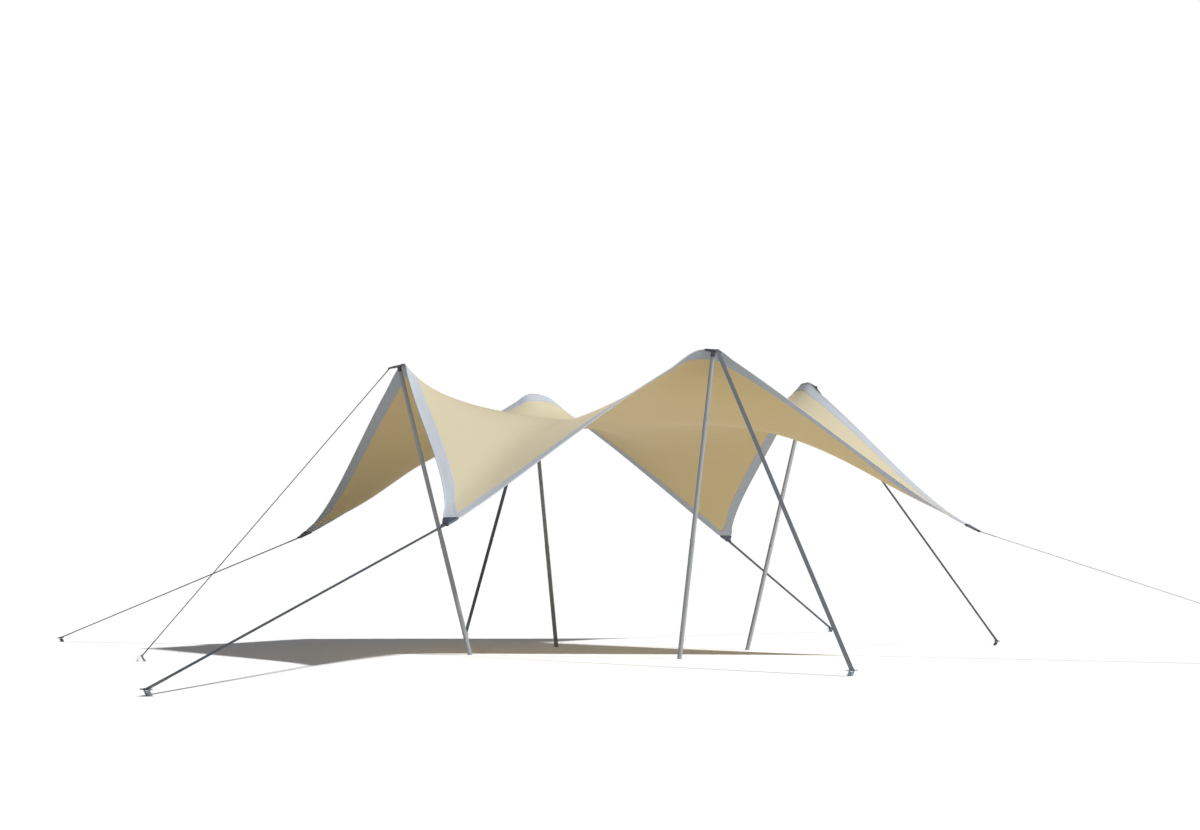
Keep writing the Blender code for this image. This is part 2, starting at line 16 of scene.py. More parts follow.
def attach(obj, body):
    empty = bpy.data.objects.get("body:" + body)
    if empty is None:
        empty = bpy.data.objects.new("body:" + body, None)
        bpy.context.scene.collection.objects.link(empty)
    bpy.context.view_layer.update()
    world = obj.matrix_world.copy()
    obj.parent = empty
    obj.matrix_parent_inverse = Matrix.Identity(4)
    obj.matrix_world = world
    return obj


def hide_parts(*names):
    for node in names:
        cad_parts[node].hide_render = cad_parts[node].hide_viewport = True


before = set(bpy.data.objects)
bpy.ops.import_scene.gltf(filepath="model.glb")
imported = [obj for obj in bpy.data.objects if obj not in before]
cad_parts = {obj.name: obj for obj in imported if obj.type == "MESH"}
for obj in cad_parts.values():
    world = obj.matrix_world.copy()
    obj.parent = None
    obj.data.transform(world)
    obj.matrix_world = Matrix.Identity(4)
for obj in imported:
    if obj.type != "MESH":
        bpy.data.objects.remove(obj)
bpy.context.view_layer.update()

print("measured solids:", len(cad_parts))

# %% [markdown]
# The picture was taken from close to the ground with a normal lens. A camera
# could be placed by eye, but here its place, heading and upward tilt were fitted
# to nineteen points marked in the picture, together with the tent's own sizes.
# The tent then falls within a few pixels of its place in the picture.

# %% Camera
FRAME_WIDTH_PX = 1200
FOCAL_LENGTH_PX = 1798.3
SENSOR_WIDTH_MM = 36.0
CAMERA_REACH = 1000.0
CAMERA_PLACE = (-7.598, -17.974, 0.829)
CAMERA_HEADING = math.radians(-22.5)
CAMERA_TILT_UP = math.radians(5.09)

camera_data = bpy.data.cameras.new("camera")
camera_data.sensor_width = SENSOR_WIDTH_MM
camera_data.lens = FOCAL_LENGTH_PX / FRAME_WIDTH_PX * SENSOR_WIDTH_MM
camera_data.clip_end = CAMERA_REACH
camera = bpy.data.objects.new("camera", camera_data)
camera.location = CAMERA_PLACE
camera.rotation_euler = (math.pi / 2 + CAMERA_TILT_UP, 0.0, CAMERA_HEADING)
bpy.context.scene.collection.objects.link(camera)
bpy.context.scene.camera = camera
print("lens in mm:", round(camera_data.lens, 2))

# %% [markdown]
# The light is a plain studio: a white backdrop behind the tent, a dim room all
# round, and one key light high on the right and a little in front, which throws a
# soft grey shadow to the left and back. A sun lamp with a wide angle does this with
# the same strength everywhere, which suits an object eleven metres wide. The dim
# room keeps the shadow dark and gives the poles a dark side, while the backdrop
# behind the tent stays white.

# %% Light
KEY_BEARING = math.radians(-54.7)
KEY_HEIGHT = math.radians(40)
KEY_STRENGTH = 5.1
KEY_ANGLE = math.radians(2.5)
KEY_COLOUR = (1.0, 1.0, 1.0)

# The backdrop fades between two heights, as sines, and between two widths, as cosines
BACKDROP_TOP = (math.sin(math.radians(18.5)), math.sin(math.radians(22)))
BACKDROP_SIDES = (math.cos(math.radians(36)), math.cos(math.radians(26)))
BACKDROP_WHITE = (1.0, 1.0, 1.0)
BLACK = (0.0, 0.0, 0.0)
ROOM_GREY = (0.151, 0.155, 0.168)

key_data = bpy.data.lights.new("key", "SUN")
key_data.energy = KEY_STRENGTH
key_data.angle = KEY_ANGLE
key_data.color = KEY_COLOUR
key = bpy.data.objects.new("key", key_data)
towards_key = Vector((
    math.cos(KEY_BEARING) * math.cos(KEY_HEIGHT),
    math.sin(KEY_BEARING) * math.cos(KEY_HEIGHT),
    math.sin(KEY_HEIGHT),
))
key.rotation_mode = "QUATERNION"
key.rotation_quaternion = towards_key.to_track_quat("Z", "Y")
bpy.context.scene.collection.objects.link(key)

bpy.context.scene.view_settings.view_transform = "Standard"

# %% [markdown]
# A finish in Blender is a small network of nodes that ends in one shader. Most
# finishes here need the same few steps: take a place on the surface, stretch it,
# read a noise or a wave there, and use that for colour, roughness or a fine bump.
# These helpers make those steps, so each finish below reads like a recipe. In a
# recipe, clouds and grain are a number to the metre and a detail, and a relief is
# a depth in metres and a strength.

# %% Helpers for finishes
WAVE_PERIOD = math.pi / 10


def feed(tree, made, **inputs):
    """Fixes or links a node's inputs, with an underscore for each space in a name."""
    for name, value in inputs.items():
        socket = made.inputs[name.replace("_", " ")]
        if isinstance(value, bpy.types.NodeSocket):
            tree.links.new(value, socket)
        else:
            socket.default_value = value


def finish(name, roughness, metallic=0.0):
    """A new material, its node tree and its Principled shader."""
    material = bpy.data.materials.new(name)
    material.use_nodes = True
    shader = material.node_tree.nodes["Principled BSDF"]
    feed(material.node_tree, shader, Roughness=roughness, Metallic=metallic)
    return material, material.node_tree, shader


def node(tree, kind, settings=None, **inputs):
    """A node with its settings and its inputs."""
    made = tree.nodes.new(kind)
    for setting, value in (settings or {}).items():
        setattr(made, setting, value)
    feed(tree, made, **inputs)
    return made


def surface_place(tree, source, stretch):
    """Coordinates of the surface, multiplied by stretch along each axis."""
    places = node(tree, "ShaderNodeTexCoord")
    scaled = node(tree, "ShaderNodeMapping", Vector=places.outputs[source], Scale=stretch)
    return scaled.outputs["Vector"]


def noise(tree, source, stretch, detail=3.0):
    """Clouds on the surface, with stretch of them to the metre along each axis."""
    place = surface_place(tree, source, stretch)
    return node(tree, "ShaderNodeTexNoise", Vector=place, Scale=1.0, Detail=detail).outputs["Fac"]


def between(tree, factor, low, high, narrow=(0.0, 1.0)):
    """A colour between low and high, as factor goes through the narrow range."""
    ramp = node(tree, "ShaderNodeValToRGB", Fac=factor)
    ramp.color_ramp.elements[0].position = narrow[0]
    ramp.color_ramp.elements[1].position = narrow[1]
    ramp.color_ramp.elements[0].color = (*low, 1.0)
    ramp.color_ramp.elements[1].color = (*high, 1.0)
    return ramp.outputs["Color"]


def ranged(tree, factor, low, high):
    """A number between low and high."""
    return node(tree, "ShaderNodeMapRange", Value=factor, To_Min=low, To_Max=high).outputs["Result"]


def bump(tree, height, distance, strength, under=None):
    """A fine relief, distance metres deep, laid over the one under it."""
    made = node(tree, "ShaderNodeBump", Height=height, Distance=distance, Strength=strength)
    if under is not None:
        feed(tree, made, Normal=under)
    return made.outputs["Normal"]


def ribs(tree, source, spacing, axis):
    """Even ribs across one axis of the surface, spacing metres apart."""
    place = surface_place(tree, source, (1.0, 1.0, 1.0))
    settings = {"wave_type": "BANDS", "bands_direction": axis}
    waves = node(tree, "ShaderNodeTexWave", settings, Vector=place, Scale=WAVE_PERIOD / spacing)
    return waves.outputs["Fac"]


def even_noise(tree, per_metre, detail=3.0):
    """Clouds of one size in every direction of the piece."""
    return noise(tree, "Object", (per_metre, per_metre, per_metre), detail)


def hard_finish(name, roughness, metallic, colours, clouds, grain, relief, shine=None, edges=(0.0, 1.0)):
    """Cloudy in colour and, within shine, in roughness, with the grain as a fine relief."""
    material, tree, shader = finish(name, roughness, metallic)
    cloudy = even_noise(tree, *clouds)
    grainy = cloudy if grain == clouds else even_noise(tree, *grain)
    feed(tree, shader, Base_Color=between(tree, cloudy, *colours, edges), Normal=bump(tree, grainy, *relief))
    if shine is not None:
        feed(tree, shader, Roughness=ranged(tree, cloudy, *shine))
    return material


# %% [markdown]
# The room is a world, which Blender lights the scene with from every direction. A
# picture could do that job. Two ramps are enough here: one keeps the backdrop's
# white below its top edge, the other keeps it between its sides.

# %% Room
surround = bpy.data.worlds.new("surround")
surround.use_nodes = True
room = surround.node_tree
facing = (-math.sin(CAMERA_HEADING), math.cos(CAMERA_HEADING), 0.0)
direction = node(room, "ShaderNodeTexCoord").outputs["Generated"]
ahead = node(room, "ShaderNodeVectorMath", {"operation": "DOT_PRODUCT"})
room.links.new(direction, ahead.inputs[0])
ahead.inputs[1].default_value = facing
height = node(room, "ShaderNodeSeparateXYZ", Vector=direction).outputs["Z"]
in_width = between(room, ahead.outputs["Value"], ROOM_GREY, BACKDROP_WHITE, BACKDROP_SIDES)
low_enough = between(room, height, BACKDROP_WHITE, BLACK, BACKDROP_TOP)
walls = node(
    room, "ShaderNodeMix", {"data_type": "RGBA"}, Factor=low_enough, A=(*ROOM_GREY, 1.0), B=in_width,
)
feed(room, room.nodes["Background"], Color=walls.outputs["Result"])
bpy.context.scene.world = surround

# %% [markdown]
# The floor is a plain pale sheet of paper, far wider than the view, so that its
# far edge melts into the surround. A very faint mottle keeps it from looking
# drawn.

# %% Floor
FLOOR_REACH = 400.0
FLOOR_DARK = (0.86, 0.86, 0.86)
FLOOR_PALE = (0.89, 0.89, 0.89)


def paper_white():
    material, tree, shader = finish("paper_white", 0.9)
    mottle = even_noise(tree, 0.7)
    feed(
        tree, shader,
        Base_Color=between(tree, mottle, FLOOR_DARK, FLOOR_PALE),
        Roughness=ranged(tree, mottle, low=0.85, high=0.95),
    )
    return material


floor_mesh = bpy.data.meshes.new("studio_floor")
floor_corners = [(-FLOOR_REACH, -FLOOR_REACH, 0), (FLOOR_REACH, -FLOOR_REACH, 0)]
floor_corners += [(FLOOR_REACH, FLOOR_REACH, 0), (-FLOOR_REACH, FLOOR_REACH, 0)]
floor_mesh.from_pydata(floor_corners, [], [(0, 1, 2, 3)])
floor_mesh.materials.append(paper_white())
floor = bpy.data.objects.new("studio_floor", floor_mesh)
bpy.context.scene.collection.objects.link(floor)

# %% [markdown]
# The sheet has no frame of its own: its shape is what the pull at eight plates
# makes of it. A modeller could push vertices about until it looks right. A better
# way is the one that tent makers use, form finding. The sheet is drawn as a square
# net, its edge is held on the hem's curves and in the plates' jaws, and every free
# point goes where the pulls of its neighbours balance. That is one set of linear
# equations, and it gives the smooth saddles between the peaks.

# %% Where the sheet is held
SHEET_SIDE = 6.0
HEM_WIDTH = 0.12
SHEET_STRIPS = 16
PEAK_REACH = 2.375
PEAK_HEIGHT = 3.008
PEAK_SWING = math.radians(0.8)
CORNER_REACH = 3.82
CORNER_HEIGHT = 1.335
CORNER_TILT = math.radians(28)
POLE_LEAN = math.radians(14.6)
SIDE_POLE_LEAN = math.radians(14.95)
PLATE_LENGTH = 0.150
PLATE_HALF_WIDTH = 0.074
PLATE_THICKNESS = 0.016
PIN_FROM_END = 0.007
JAW_GAP = 0.0003
FIRST_BEARING = 225.0
BEARING_STEP = 45.0
RING = ["front_left", "front", "front_right", "right", "back_right", "back", "back_left", "left"]


def bearing(k):
    return math.radians(FIRST_BEARING + BEARING_STEP * k)


def outward(angle):
    return Vector((math.cos(angle), math.sin(angle), 0.0))


def tilted_frame(angle, origin, tilt):
    """Local x points outwards and dips by tilt, y runs anticlockwise, z is the upper face's normal."""
    return Matrix.Translation(origin) @ Matrix.Rotation(angle, 4, "Z") @ Matrix.Rotation(tilt, 4, "Y")


def plate_frame(k):
    """Where plate k is: its origin in the middle of the jaw, and its x towards the nose."""
    if k % 2 == 1:
        swing, lean = (PEAK_SWING, POLE_LEAN) if RING[k] in ("front", "back") else (0.0, SIDE_POLE_LEAN)
        out = outward(bearing(k) + swing)
        return tilted_frame(bearing(k) + swing, out * PEAK_REACH + Vector((0, 0, PEAK_HEIGHT)), lean)
    origin = outward(bearing(k)) * CORNER_REACH + Vector((0, 0, CORNER_HEIGHT))
    return tilted_frame(bearing(k), origin, CORNER_TILT)


def jaw_point(k, side):
    """A point of plate k's jaw: its clockwise end at side -1, its middle, or its other end at 1."""
    return plate_frame(k) @ Vector((-JAW_GAP, side * PLATE_HALF_WIDTH, 0))


strips = np.linspace(HEM_WIDTH, SHEET_SIDE / 2 - PLATE_HALF_WIDTH, SHEET_STRIPS + 1)
marks = np.concatenate([[0.0], strips, [SHEET_SIDE / 2], SHEET_SIDE - strips[::-1], [SHEET_SIDE]])
CELLS = len(marks) - 1
SIDES = len(RING) // 2
HALF = CELLS // 2
net_ring = [(i, 0) for i in range(CELLS)] + [(CELLS, j) for j in range(CELLS)]
net_ring += [(i, CELLS) for i in range(CELLS, 0, -1)] + [(0, j) for j in range(CELLS, 0, -1)]


def ring_place(steps):
    """The net's point so many steps anticlockwise along its edge, from the front left corner."""
    return net_ring[steps % len(net_ring)]


print("net lines each way:", len(marks))

# %% [markdown]
# Between two plates the hem hangs in a long curve. Each curve is a cubic with its
# two bends given from the low corner, as metres out and sideways to the peak. The
# sheet hangs a little unevenly, so the bends' heights depend on the peak and on the
# turn from corner to peak.

# %% The hem's curves
HEM_LOW_BEND = (3.29, 0.28)
HEM_HIGH_BEND = (2.50, 1.09)
FRONT_BACK_BENDS = {1: (1.59, 2.54), -1: (1.63, 2.45)}
SIDE_BENDS = {1: (1.61, 2.43), -1: (1.75, 2.38)}
HEM_SAMPLES = 200


def hem_curve(corner, turn, fractions):
    """Points of the hem from a low corner to the next peak, turn 1 anticlockwise or -1 clockwise."""
    peak = (corner + turn) % len(RING)
    heights = (FRONT_BACK_BENDS if RING[peak] in ("front", "back") else SIDE_BENDS)[turn]
    around = Matrix.Rotation(bearing(corner), 4, "Z")
    bends = [
        around @ Vector((out, turn * sideways, height))
        for (out, sideways), height in zip((HEM_LOW_BEND, HEM_HIGH_BEND), heights)
    ]
    ends = [jaw_point(corner, turn), jaw_point(peak, -turn)]
    start, low, high, end = [np.array(p) for p in (ends[0], *bends, ends[1])]
    t = np.linspace(0, 1, HEM_SAMPLES)[:, None]
    curve = (1 - t) ** 3 * start + 3 * (1 - t) ** 2 * t * low
    curve = curve + 3 * (1 - t) * t ** 2 * high + t ** 3 * end
    run = np.concatenate([[0.0], np.cumsum(np.linalg.norm(np.diff(curve, axis=0), axis=1))])
    return np.stack([np.interp(fractions * run[-1], run, curve[:, axis]) for axis in range(3)], axis=1)


held = {}
for k in range(len(RING)):
    for side in (-1, 0, 1):
        held[ring_place(k * HALF + side)] = np.array(jaw_point(k, side))
hem_fractions = (marks[1:HALF] - marks[1]) / (marks[HALF - 1] - marks[1])
for corner in range(0, len(RING), 2):
    for turn in (1, -1):
        for step, point in enumerate(hem_curve(corner, turn, hem_fractions), start=1):
            held[ring_place(corner * HALF + turn * step)] = point
print("held points of the net:", len(held))

# %% [markdown]
# The weave pulls along its two directions. Stretch fabric also carries a pull on
# the slant, from corner to corner and from peak to peak, which the diagonal links
# stand for. A little lift at each point keeps the crown as full as the real one.

# %% Find the sheet's form
CORNER_PULL = 3.56
CORNER_PULL_SPREAD = 0.14
PEAK_PULL = 0.66
PEAK_PULL_SPREAD = 0.18
CROWN_LIFT = 0.21

# Slack beside the hem from the front right corner to the front peak, and its opposite
BELLY_DROP = 0.045
BELLY_FROM_CORNER = 0.7
BELLY_FROM_HEM = 0.35

# Where the fabric's corner ends inside a low plate, out and anticlockwise of the jaw
CORNER_TIP = (-0.098, 0.023)


def net_links():
    """Every link of the net with its pull."""
    gaps = np.diff(marks)
    share = np.convolve(gaps, [0.5, 0.5])
    for line in range(CELLS + 1):
        for cell, gap in enumerate(gaps):
            yield (cell, line), (cell + 1, line), share[line] / gap
            yield (line, cell), (line, cell + 1), share[line] / gap
    across = (marks[:-1] + marks[1:]) / SHEET_SIDE - 1
    for i, x in enumerate(across):
        for j, y in enumerate(across):
            scale = 2 * gaps[i] * gaps[j] / (gaps[i] ** 2 + gaps[j] ** 2)
            to_corner = CORNER_PULL * math.exp(-(((abs(x) - abs(y)) / CORNER_PULL_SPREAD) ** 2))
            to_peak = PEAK_PULL * math.exp(-(((abs(x) + abs(y) - 1) / PEAK_PULL_SPREAD) ** 2))
            rising, falling = ((i, j), (i + 1, j + 1)), ((i + 1, j), (i, j + 1))
            outer, inner = (rising, falling) if x * y > 0 else (falling, rising)
            yield *outer, to_corner * scale
            yield *inner, to_peak * scale


def find_net():
    """The net's points as a grid."""
    size = CELLS + 1
    balance = np.zeros((size * size, size * size))
    for (i, j), (p, q), pull in net_links():
        a, b = i * size + j, p * size + q
        balance[a, a] += pull
        balance[b, b] += pull
        balance[a, b] -= pull
        balance[b, a] -= pull
    fixed = np.array([i * size + j for i, j in held])
    free = np.setdiff1d(np.arange(size * size), fixed)
    places = np.zeros((size * size, 3))
    places[fixed] = list(held.values())
    share = np.convolve(np.diff(marks), [0.5, 0.5])
    pulls = -balance[np.ix_(free, fixed)] @ places[fixed]
    pulls[:, 2] += CROWN_LIFT * np.outer(share, share).ravel()[free]
    places[free] = np.linalg.solve(balance[np.ix_(free, free)], pulls)
    return places.reshape(size, size, 3)


def belly_drop(from_corner, from_hem):
    """How far the slack fabric hangs below the taut net."""
    along = (from_corner / BELLY_FROM_CORNER) ** 2
    inward = from_hem / BELLY_FROM_HEM
    return BELLY_DROP * along * np.exp(1 - along) * inward * np.exp(1 - inward)


net = find_net()
from_left, from_front = np.meshgrid(marks, marks, indexing="ij")
front_belly = belly_drop(SHEET_SIDE - from_left, from_front)
back_belly = belly_drop(from_left, SHEET_SIDE - from_front)
net[:, :, 2] -= front_belly + back_belly

# The first row of cells is as wide as the hem, away from the plates
for line in range(2, CELLS - 1):
    for edge, seam in (((line, 0), (line, 1)), ((line, CELLS), (line, CELLS - 1)),
                       ((0, line), (1, line)), ((CELLS, line), (CELLS - 1, line))):
        step = net[seam] - net[edge]
        net[seam] = net[edge] + step * (HEM_WIDTH / np.linalg.norm(step))

# The point beside each low corner goes to the fabric's corner inside the plate
for k in range(0, len(RING), 2):
    beside = ring_place(k * HALF + 1), ring_place(k * HALF - 1)
    tip = tuple(a if 0 < a < CELLS else b for a, b in zip(*beside))
    old_tip = plate_frame(k).inverted() @ Vector(net[tip])
    net[tip] = plate_frame(k) @ Vector((*CORNER_TIP, old_tip.z * CORNER_TIP[0] / old_tip.x))

net_normals = np.cross(np.gradient(net, axis=0), np.gradient(net, axis=1))
for k in range(len(RING)):
    for side in (-1, 0, 1):
        net_normals[ring_place(k * HALF + side)] = plate_frame(k).to_3x3() @ Vector((0, 0, 1))
net_normals /= np.linalg.norm(net_normals, axis=2, keepdims=True)
print("height at the middle in metres:", round(float(net[HALF, HALF, 2]), 3))

# %% [markdown]
# The net is coarse, and cloth is smooth. A Subdivision modifier would round it but
# also shrink it away from the plates. Instead, smooth curves are passed through
# the net's own points, so the sheet can be read at any place of the flat cloth,
# and the pieces of the hem can be laid on it at any height.

# %% Read the sheet at any place
SHOULDER_RUN = 0.42
SHOULDER_DEPTH = 0.28
PLAIN_PEAKS = ("right",)
SLOPE_STEP = 0.01


def smooth_shares(t):
    """Shares of a smooth curve's two ends and of its slopes there, as t goes from 0 to 1."""
    return 2 * t ** 3 - 3 * t ** 2 + 1, 3 * t ** 2 - 2 * t ** 3, t ** 3 - 2 * t ** 2 + t, t ** 3 - t ** 2


def curve_weights(places):
    """Rows of weights that read a smooth curve through values at the net's marks."""
    cell = np.clip(np.searchsorted(marks, places, side="right") - 1, 0, CELLS - 1)
    gap = (marks[cell + 1] - marks[cell])[:, None]
    start, end, leave, arrive = smooth_shares((places - marks[cell])[:, None] / gap)
    values = np.eye(CELLS + 1)
    slopes = np.gradient(values, marks, axis=0)
    rows = start * values[cell] + end * values[cell + 1]
    return rows + gap * leave * slopes[cell] + gap * arrive * slopes[cell + 1]


def read_net(grid, across, along):
    """Values of a grid over the net, at places of the flat cloth."""
    half_read = np.tensordot(curve_weights(across), grid, axes=(1, 0))
    return np.einsum("ajk,aj->ak", half_read, curve_weights(along))


def on_side(side, run, depth):
    """Flat coordinates of a point run metres along a side and depth metres in from its edge."""
    run, depth = np.broadcast_arrays(np.asarray(run, float), np.asarray(depth, float))
    across = (run, SHEET_SIDE - depth, SHEET_SIDE - run, depth)[side]
    along = (depth, run, SHEET_SIDE - depth, SHEET_SIDE - run)[side]
    return across, along


def shoulder(side, run):
    """How far the hem stands proud beside a peak's plate, where the stiff band rounds over."""
    if RING[2 * side + 1] in PLAIN_PEAKS:
        return np.zeros((len(run), 1))
    end = SHEET_SIDE / 2 - PLATE_HALF_WIDTH
    start = end - SHOULDER_RUN
    t = np.clip((end - run) / SHOULDER_RUN, 0, 1)[:, None]
    from_end, from_start, leaving, arriving = smooth_shares(t)
    ends = read_net(net, *on_side(side, np.array([end, start, start + SLOPE_STEP]), 0.0))
    jaw = np.array(jaw_point(2 * side + 1, -1) - jaw_point(2 * side + 1, 1))
    leave = jaw / np.linalg.norm(jaw) * SHOULDER_RUN
    arrive = (ends[1] - ends[2]) / SLOPE_STEP * SHOULDER_RUN
    rounded = from_end * ends[0] + from_start * ends[1] + leaving * leave + arriving * arrive
    plain = read_net(net, *on_side(side, end - t[:, 0] * SHOULDER_RUN, 0.0))
    beside = ((run < end) & (run > start))[:, None]
    return np.where(beside, rounded - plain, 0.0)


def sheet_at(across, along, height=0.0):
    """Points of the dressed sheet, height metres above its middle surface."""
    across, along = np.ravel(across).astype(float), np.ravel(along).astype(float)
    places = read_net(net, across, along)
    ups = read_net(net_normals, across, along)
    ups /= np.linalg.norm(ups, axis=1, keepdims=True)
    runs = (across, along, SHEET_SIDE - across, SHEET_SIDE - along)
    depths = (along, SHEET_SIDE - across, SHEET_SIDE - along, across)
    for side, (run, depth) in enumerate(zip(runs, depths)):
        places = places + shoulder(side, run) * np.exp(-((depth / SHOULDER_DEPTH) ** 2))[:, None]
    return places + ups * np.broadcast_to(height, len(across))[:, None]


# %% [markdown]
# Helpers turn rows of points into closed pieces. A piece is a mesh with its faces
# turned outwards, its finish in the first slot, and where the finish needs it, the
# flat cloth's own coordinates in metres as its UV map, so that the weave follows
# the cloth.

# %% Helpers for pieces
def piece(name, verts, faces, material, uv=None, smooth_below=40.0):
    """A mesh object, smooth where its faces meet below an angle in degrees."""
    mesh = bpy.data.meshes.new(name)
    mesh.from_pydata([tuple(v) for v in verts], [], [tuple(f) for f in faces])
    if uv is not None:
        layer = mesh.uv_layers.new(name="cloth")
        corners = np.zeros(len(mesh.loops), dtype=np.int64)
        mesh.loops.foreach_get("vertex_index", corners)
        layer.data.foreach_set("uv", np.asarray(uv, float)[corners].ravel())
    shell = bmesh.new()
    shell.from_mesh(mesh)
    bmesh.ops.recalc_face_normals(shell, faces=shell.faces)
    shell.to_mesh(mesh)
    shell.free()
    mesh.materials.append(material)
    mesh.shade_smooth()
    mesh.set_sharp_from_angle(angle=math.radians(smooth_below))
    made = bpy.data.objects.new(name, mesh)
    bpy.context.scene.collection.objects.link(made)
    return made


def tube_faces(stations, section, closed=False):
    """Faces of a section swept through stations, in a closed ring or capped at both ends."""
    faces = []
    for a in range(stations if closed else stations - 1):
        here, there = a * section, (a + 1) % stations * section
        for b in range(section):
            c = (b + 1) % section
            faces.append((here + b, here + c, there + c, there + b))
    if not closed:
        faces += [range(section), range((stations - 1) * section, stations * section)]
    return faces


# %% [markdown]
# The fabric is a woven stretch cloth in sand. Seen close, fine slubs run along
# one weave direction, lighter and darker by a little. Light comes through it, so
# the underside glows warm: a Translucent shader is mixed in for that. The lower
# face also gets a deeper, warmer colour of its own, which is painted glow: it
# stands in for more of that warm light through the cloth. The weave itself is a
# pair of crossed waves used only as a fine bump.

# %% Sand fabric finish
SAND_DARK = (0.515, 0.467, 0.325)
SAND_LIGHT = (0.57, 0.52, 0.37)
# Painted glow: the underside's colour is deeper and warmer than the top's, for the warm light that comes
# through the cloth
UNDERSIDE_GLOW_DARK = (0.54, 0.415, 0.205)
UNDERSIDE_GLOW_LIGHT = (0.60, 0.475, 0.25)
SAND_THROUGH = (0.60, 0.46, 0.21)
THROUGH_SHARE = 0.18
SHEEN_TINT = (1.0, 0.88, 0.64)
YARN = 0.0016
SLUB_STRETCH = (1.3, 210.0, 1.0)
STRIPE_STRETCH = (0.5, 26.0, 1.0)


def sand_weave(name, dark, light):
    material, tree, shader = finish(name, 0.85)
    slubs = noise(tree, "UV", SLUB_STRETCH, detail=2.0)
    stripes = noise(tree, "UV", STRIPE_STRETCH, detail=2.0)
    both = node(tree, "ShaderNodeMath", {"operation": "ADD"})
    tree.links.new(slubs, both.inputs[0])
    tree.links.new(stripes, both.inputs[1])
    halved = ranged(tree, both.outputs[0], low=0.0, high=0.5)
    warp = bump(tree, ribs(tree, "UV", YARN, "X"), distance=0.0001, strength=0.08)
    weft = bump(tree, ribs(tree, "UV", YARN, "Y"), distance=0.0001, strength=0.08, under=warp)
    rough = bump(tree, slubs, distance=0.0003, strength=0.1, under=weft)
    feed(
        tree, shader,
        Base_Color=between(tree, halved, dark, light, narrow=(0.3, 0.7)),
        Roughness=ranged(tree, slubs, low=0.78, high=0.92),
        Sheen_Weight=0.4,
        Sheen_Tint=(*SHEEN_TINT, 1.0),
        Specular_IOR_Level=0.1,
        Normal=rough,
    )
    glow = node(tree, "ShaderNodeBsdfTranslucent", Normal=rough, Color=(*SAND_THROUGH, 1.0))
    mixed = node(tree, "ShaderNodeMixShader", Fac=THROUGH_SHARE)
    tree.links.new(shader.outputs["BSDF"], mixed.inputs[1])
    tree.links.new(glow.outputs["BSDF"], mixed.inputs[2])
    tree.links.new(mixed.outputs["Shader"], tree.nodes["Material Output"].inputs["Surface"])
    return material


# %% [markdown]
# The sheet itself is one closed skin, a little over a millimetre thick. It runs on
# under the hem band by a few centimetres, as the real cloth does inside its fold.

# %% Sheet
FABRIC_THICKNESS = 0.0014
TUCK = 0.03
SHEET_STEPS = 96
JAW_STEPS = 4


def sheet_lines():
    """The skin's lines across the flat cloth, with the jaws' ends among them."""
    low = np.linspace(HEM_WIDTH - TUCK, SHEET_SIDE / 2 - PLATE_HALF_WIDTH, SHEET_STEPS + 1)
    jaw = np.linspace(low[-1], SHEET_SIDE - low[-1], JAW_STEPS + 1)
    return np.concatenate([low, jaw[1:-1], SHEET_SIDE - low[::-1]])


lines = sheet_lines()
count = len(lines)
across, along = [grid.ravel() for grid in np.meshgrid(lines, lines, indexing="ij")]
grid_faces = []
for i in range(count - 1):
    for j in range(count - 1):
        a = i * count + j
        grid_faces.append((a, a + count, a + count + 1, a + 1))
rim = [i * count for i in range(count)] + [(count - 1) * count + j for j in range(1, count)]
rim += [i * count + count - 1 for i in range(count - 2, -1, -1)] + list(range(count - 2, 0, -1))
skin = count * count
skin_verts = np.concatenate([sheet_at(across, along, side * FABRIC_THICKNESS / 2) for side in (1, -1)])
skin_faces = grid_faces + [tuple(skin + v for v in face) for face in grid_faces]
skin_faces += [(a, b, b + skin, a + skin) for a, b in zip(rim, rim[1:] + rim[:1])]
flat_places = np.tile(np.stack([across, along], axis=1), (2, 1))
sand = sand_weave("sand_weave", SAND_DARK, SAND_LIGHT)
sheet_piece = piece("sand_sheet", skin_verts, skin_faces, sand, flat_places)
# The lower skin takes the underside colour of painted glow
sheet_piece.data.materials.append(sand_weave("sand_underside_glow", UNDERSIDE_GLOW_DARK, UNDERSIDE_GLOW_LIGHT))
for number in range(len(grid_faces), 2 * len(grid_faces)):
    sheet_piece.data.polygons[number].material_index = 1
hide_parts("canopy")
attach(sheet_piece, "root")
print("sheet faces:", len(skin_faces))

# %% [markdown]
# The hem is a stout grey band folded over the cloth's edge, with a cord sewn into
# the fold. So its section is a long U: two thin layers with the cloth between
# them, and a round bead at the outer edge. The section is swept along each side
# by reading the sheet at every station. At a low corner the band that arrives
# keeps its full width up to the plate, and the next one starts against it. The
# band's lower faces have a darker finish of their own, which is painted shade:
# the same grey webbing, made darker where it faces down, away from the light.

# %% Hem band finish
BAND_DARK = (0.32, 0.345, 0.375)
BAND_LIGHT = (0.37, 0.395, 0.43)
# Painted shade: darker copies of the band's colours, for its lower faces, which face away from the light
SHADED_BAND_DARK = (0.27, 0.29, 0.31)
SHADED_BAND_LIGHT = (0.31, 0.33, 0.355)
BAND_RIB = 0.0024
BAND_CLOUDS = (3.0, 40.0, 1.0)


def grey_band(name, dark, light):
    material, tree, shader = finish(name, 0.75)
    cloudy = noise(tree, "UV", BAND_CLOUDS)
    along_ribs = bump(tree, ribs(tree, "UV", BAND_RIB, "Y"), distance=0.0002, strength=0.08)
    half_ribs = ribs(tree, "UV", BAND_RIB / 2, "X")
    feed(
        tree, shader,
        Base_Color=between(tree, cloudy, dark, light, narrow=(0.25, 0.75)),
        Roughness=ranged(tree, cloudy, low=0.68, high=0.82),
        Sheen_Weight=0.2,
        Normal=bump(tree, half_ribs, distance=0.0001, strength=0.06, under=along_ribs),
    )
    return material


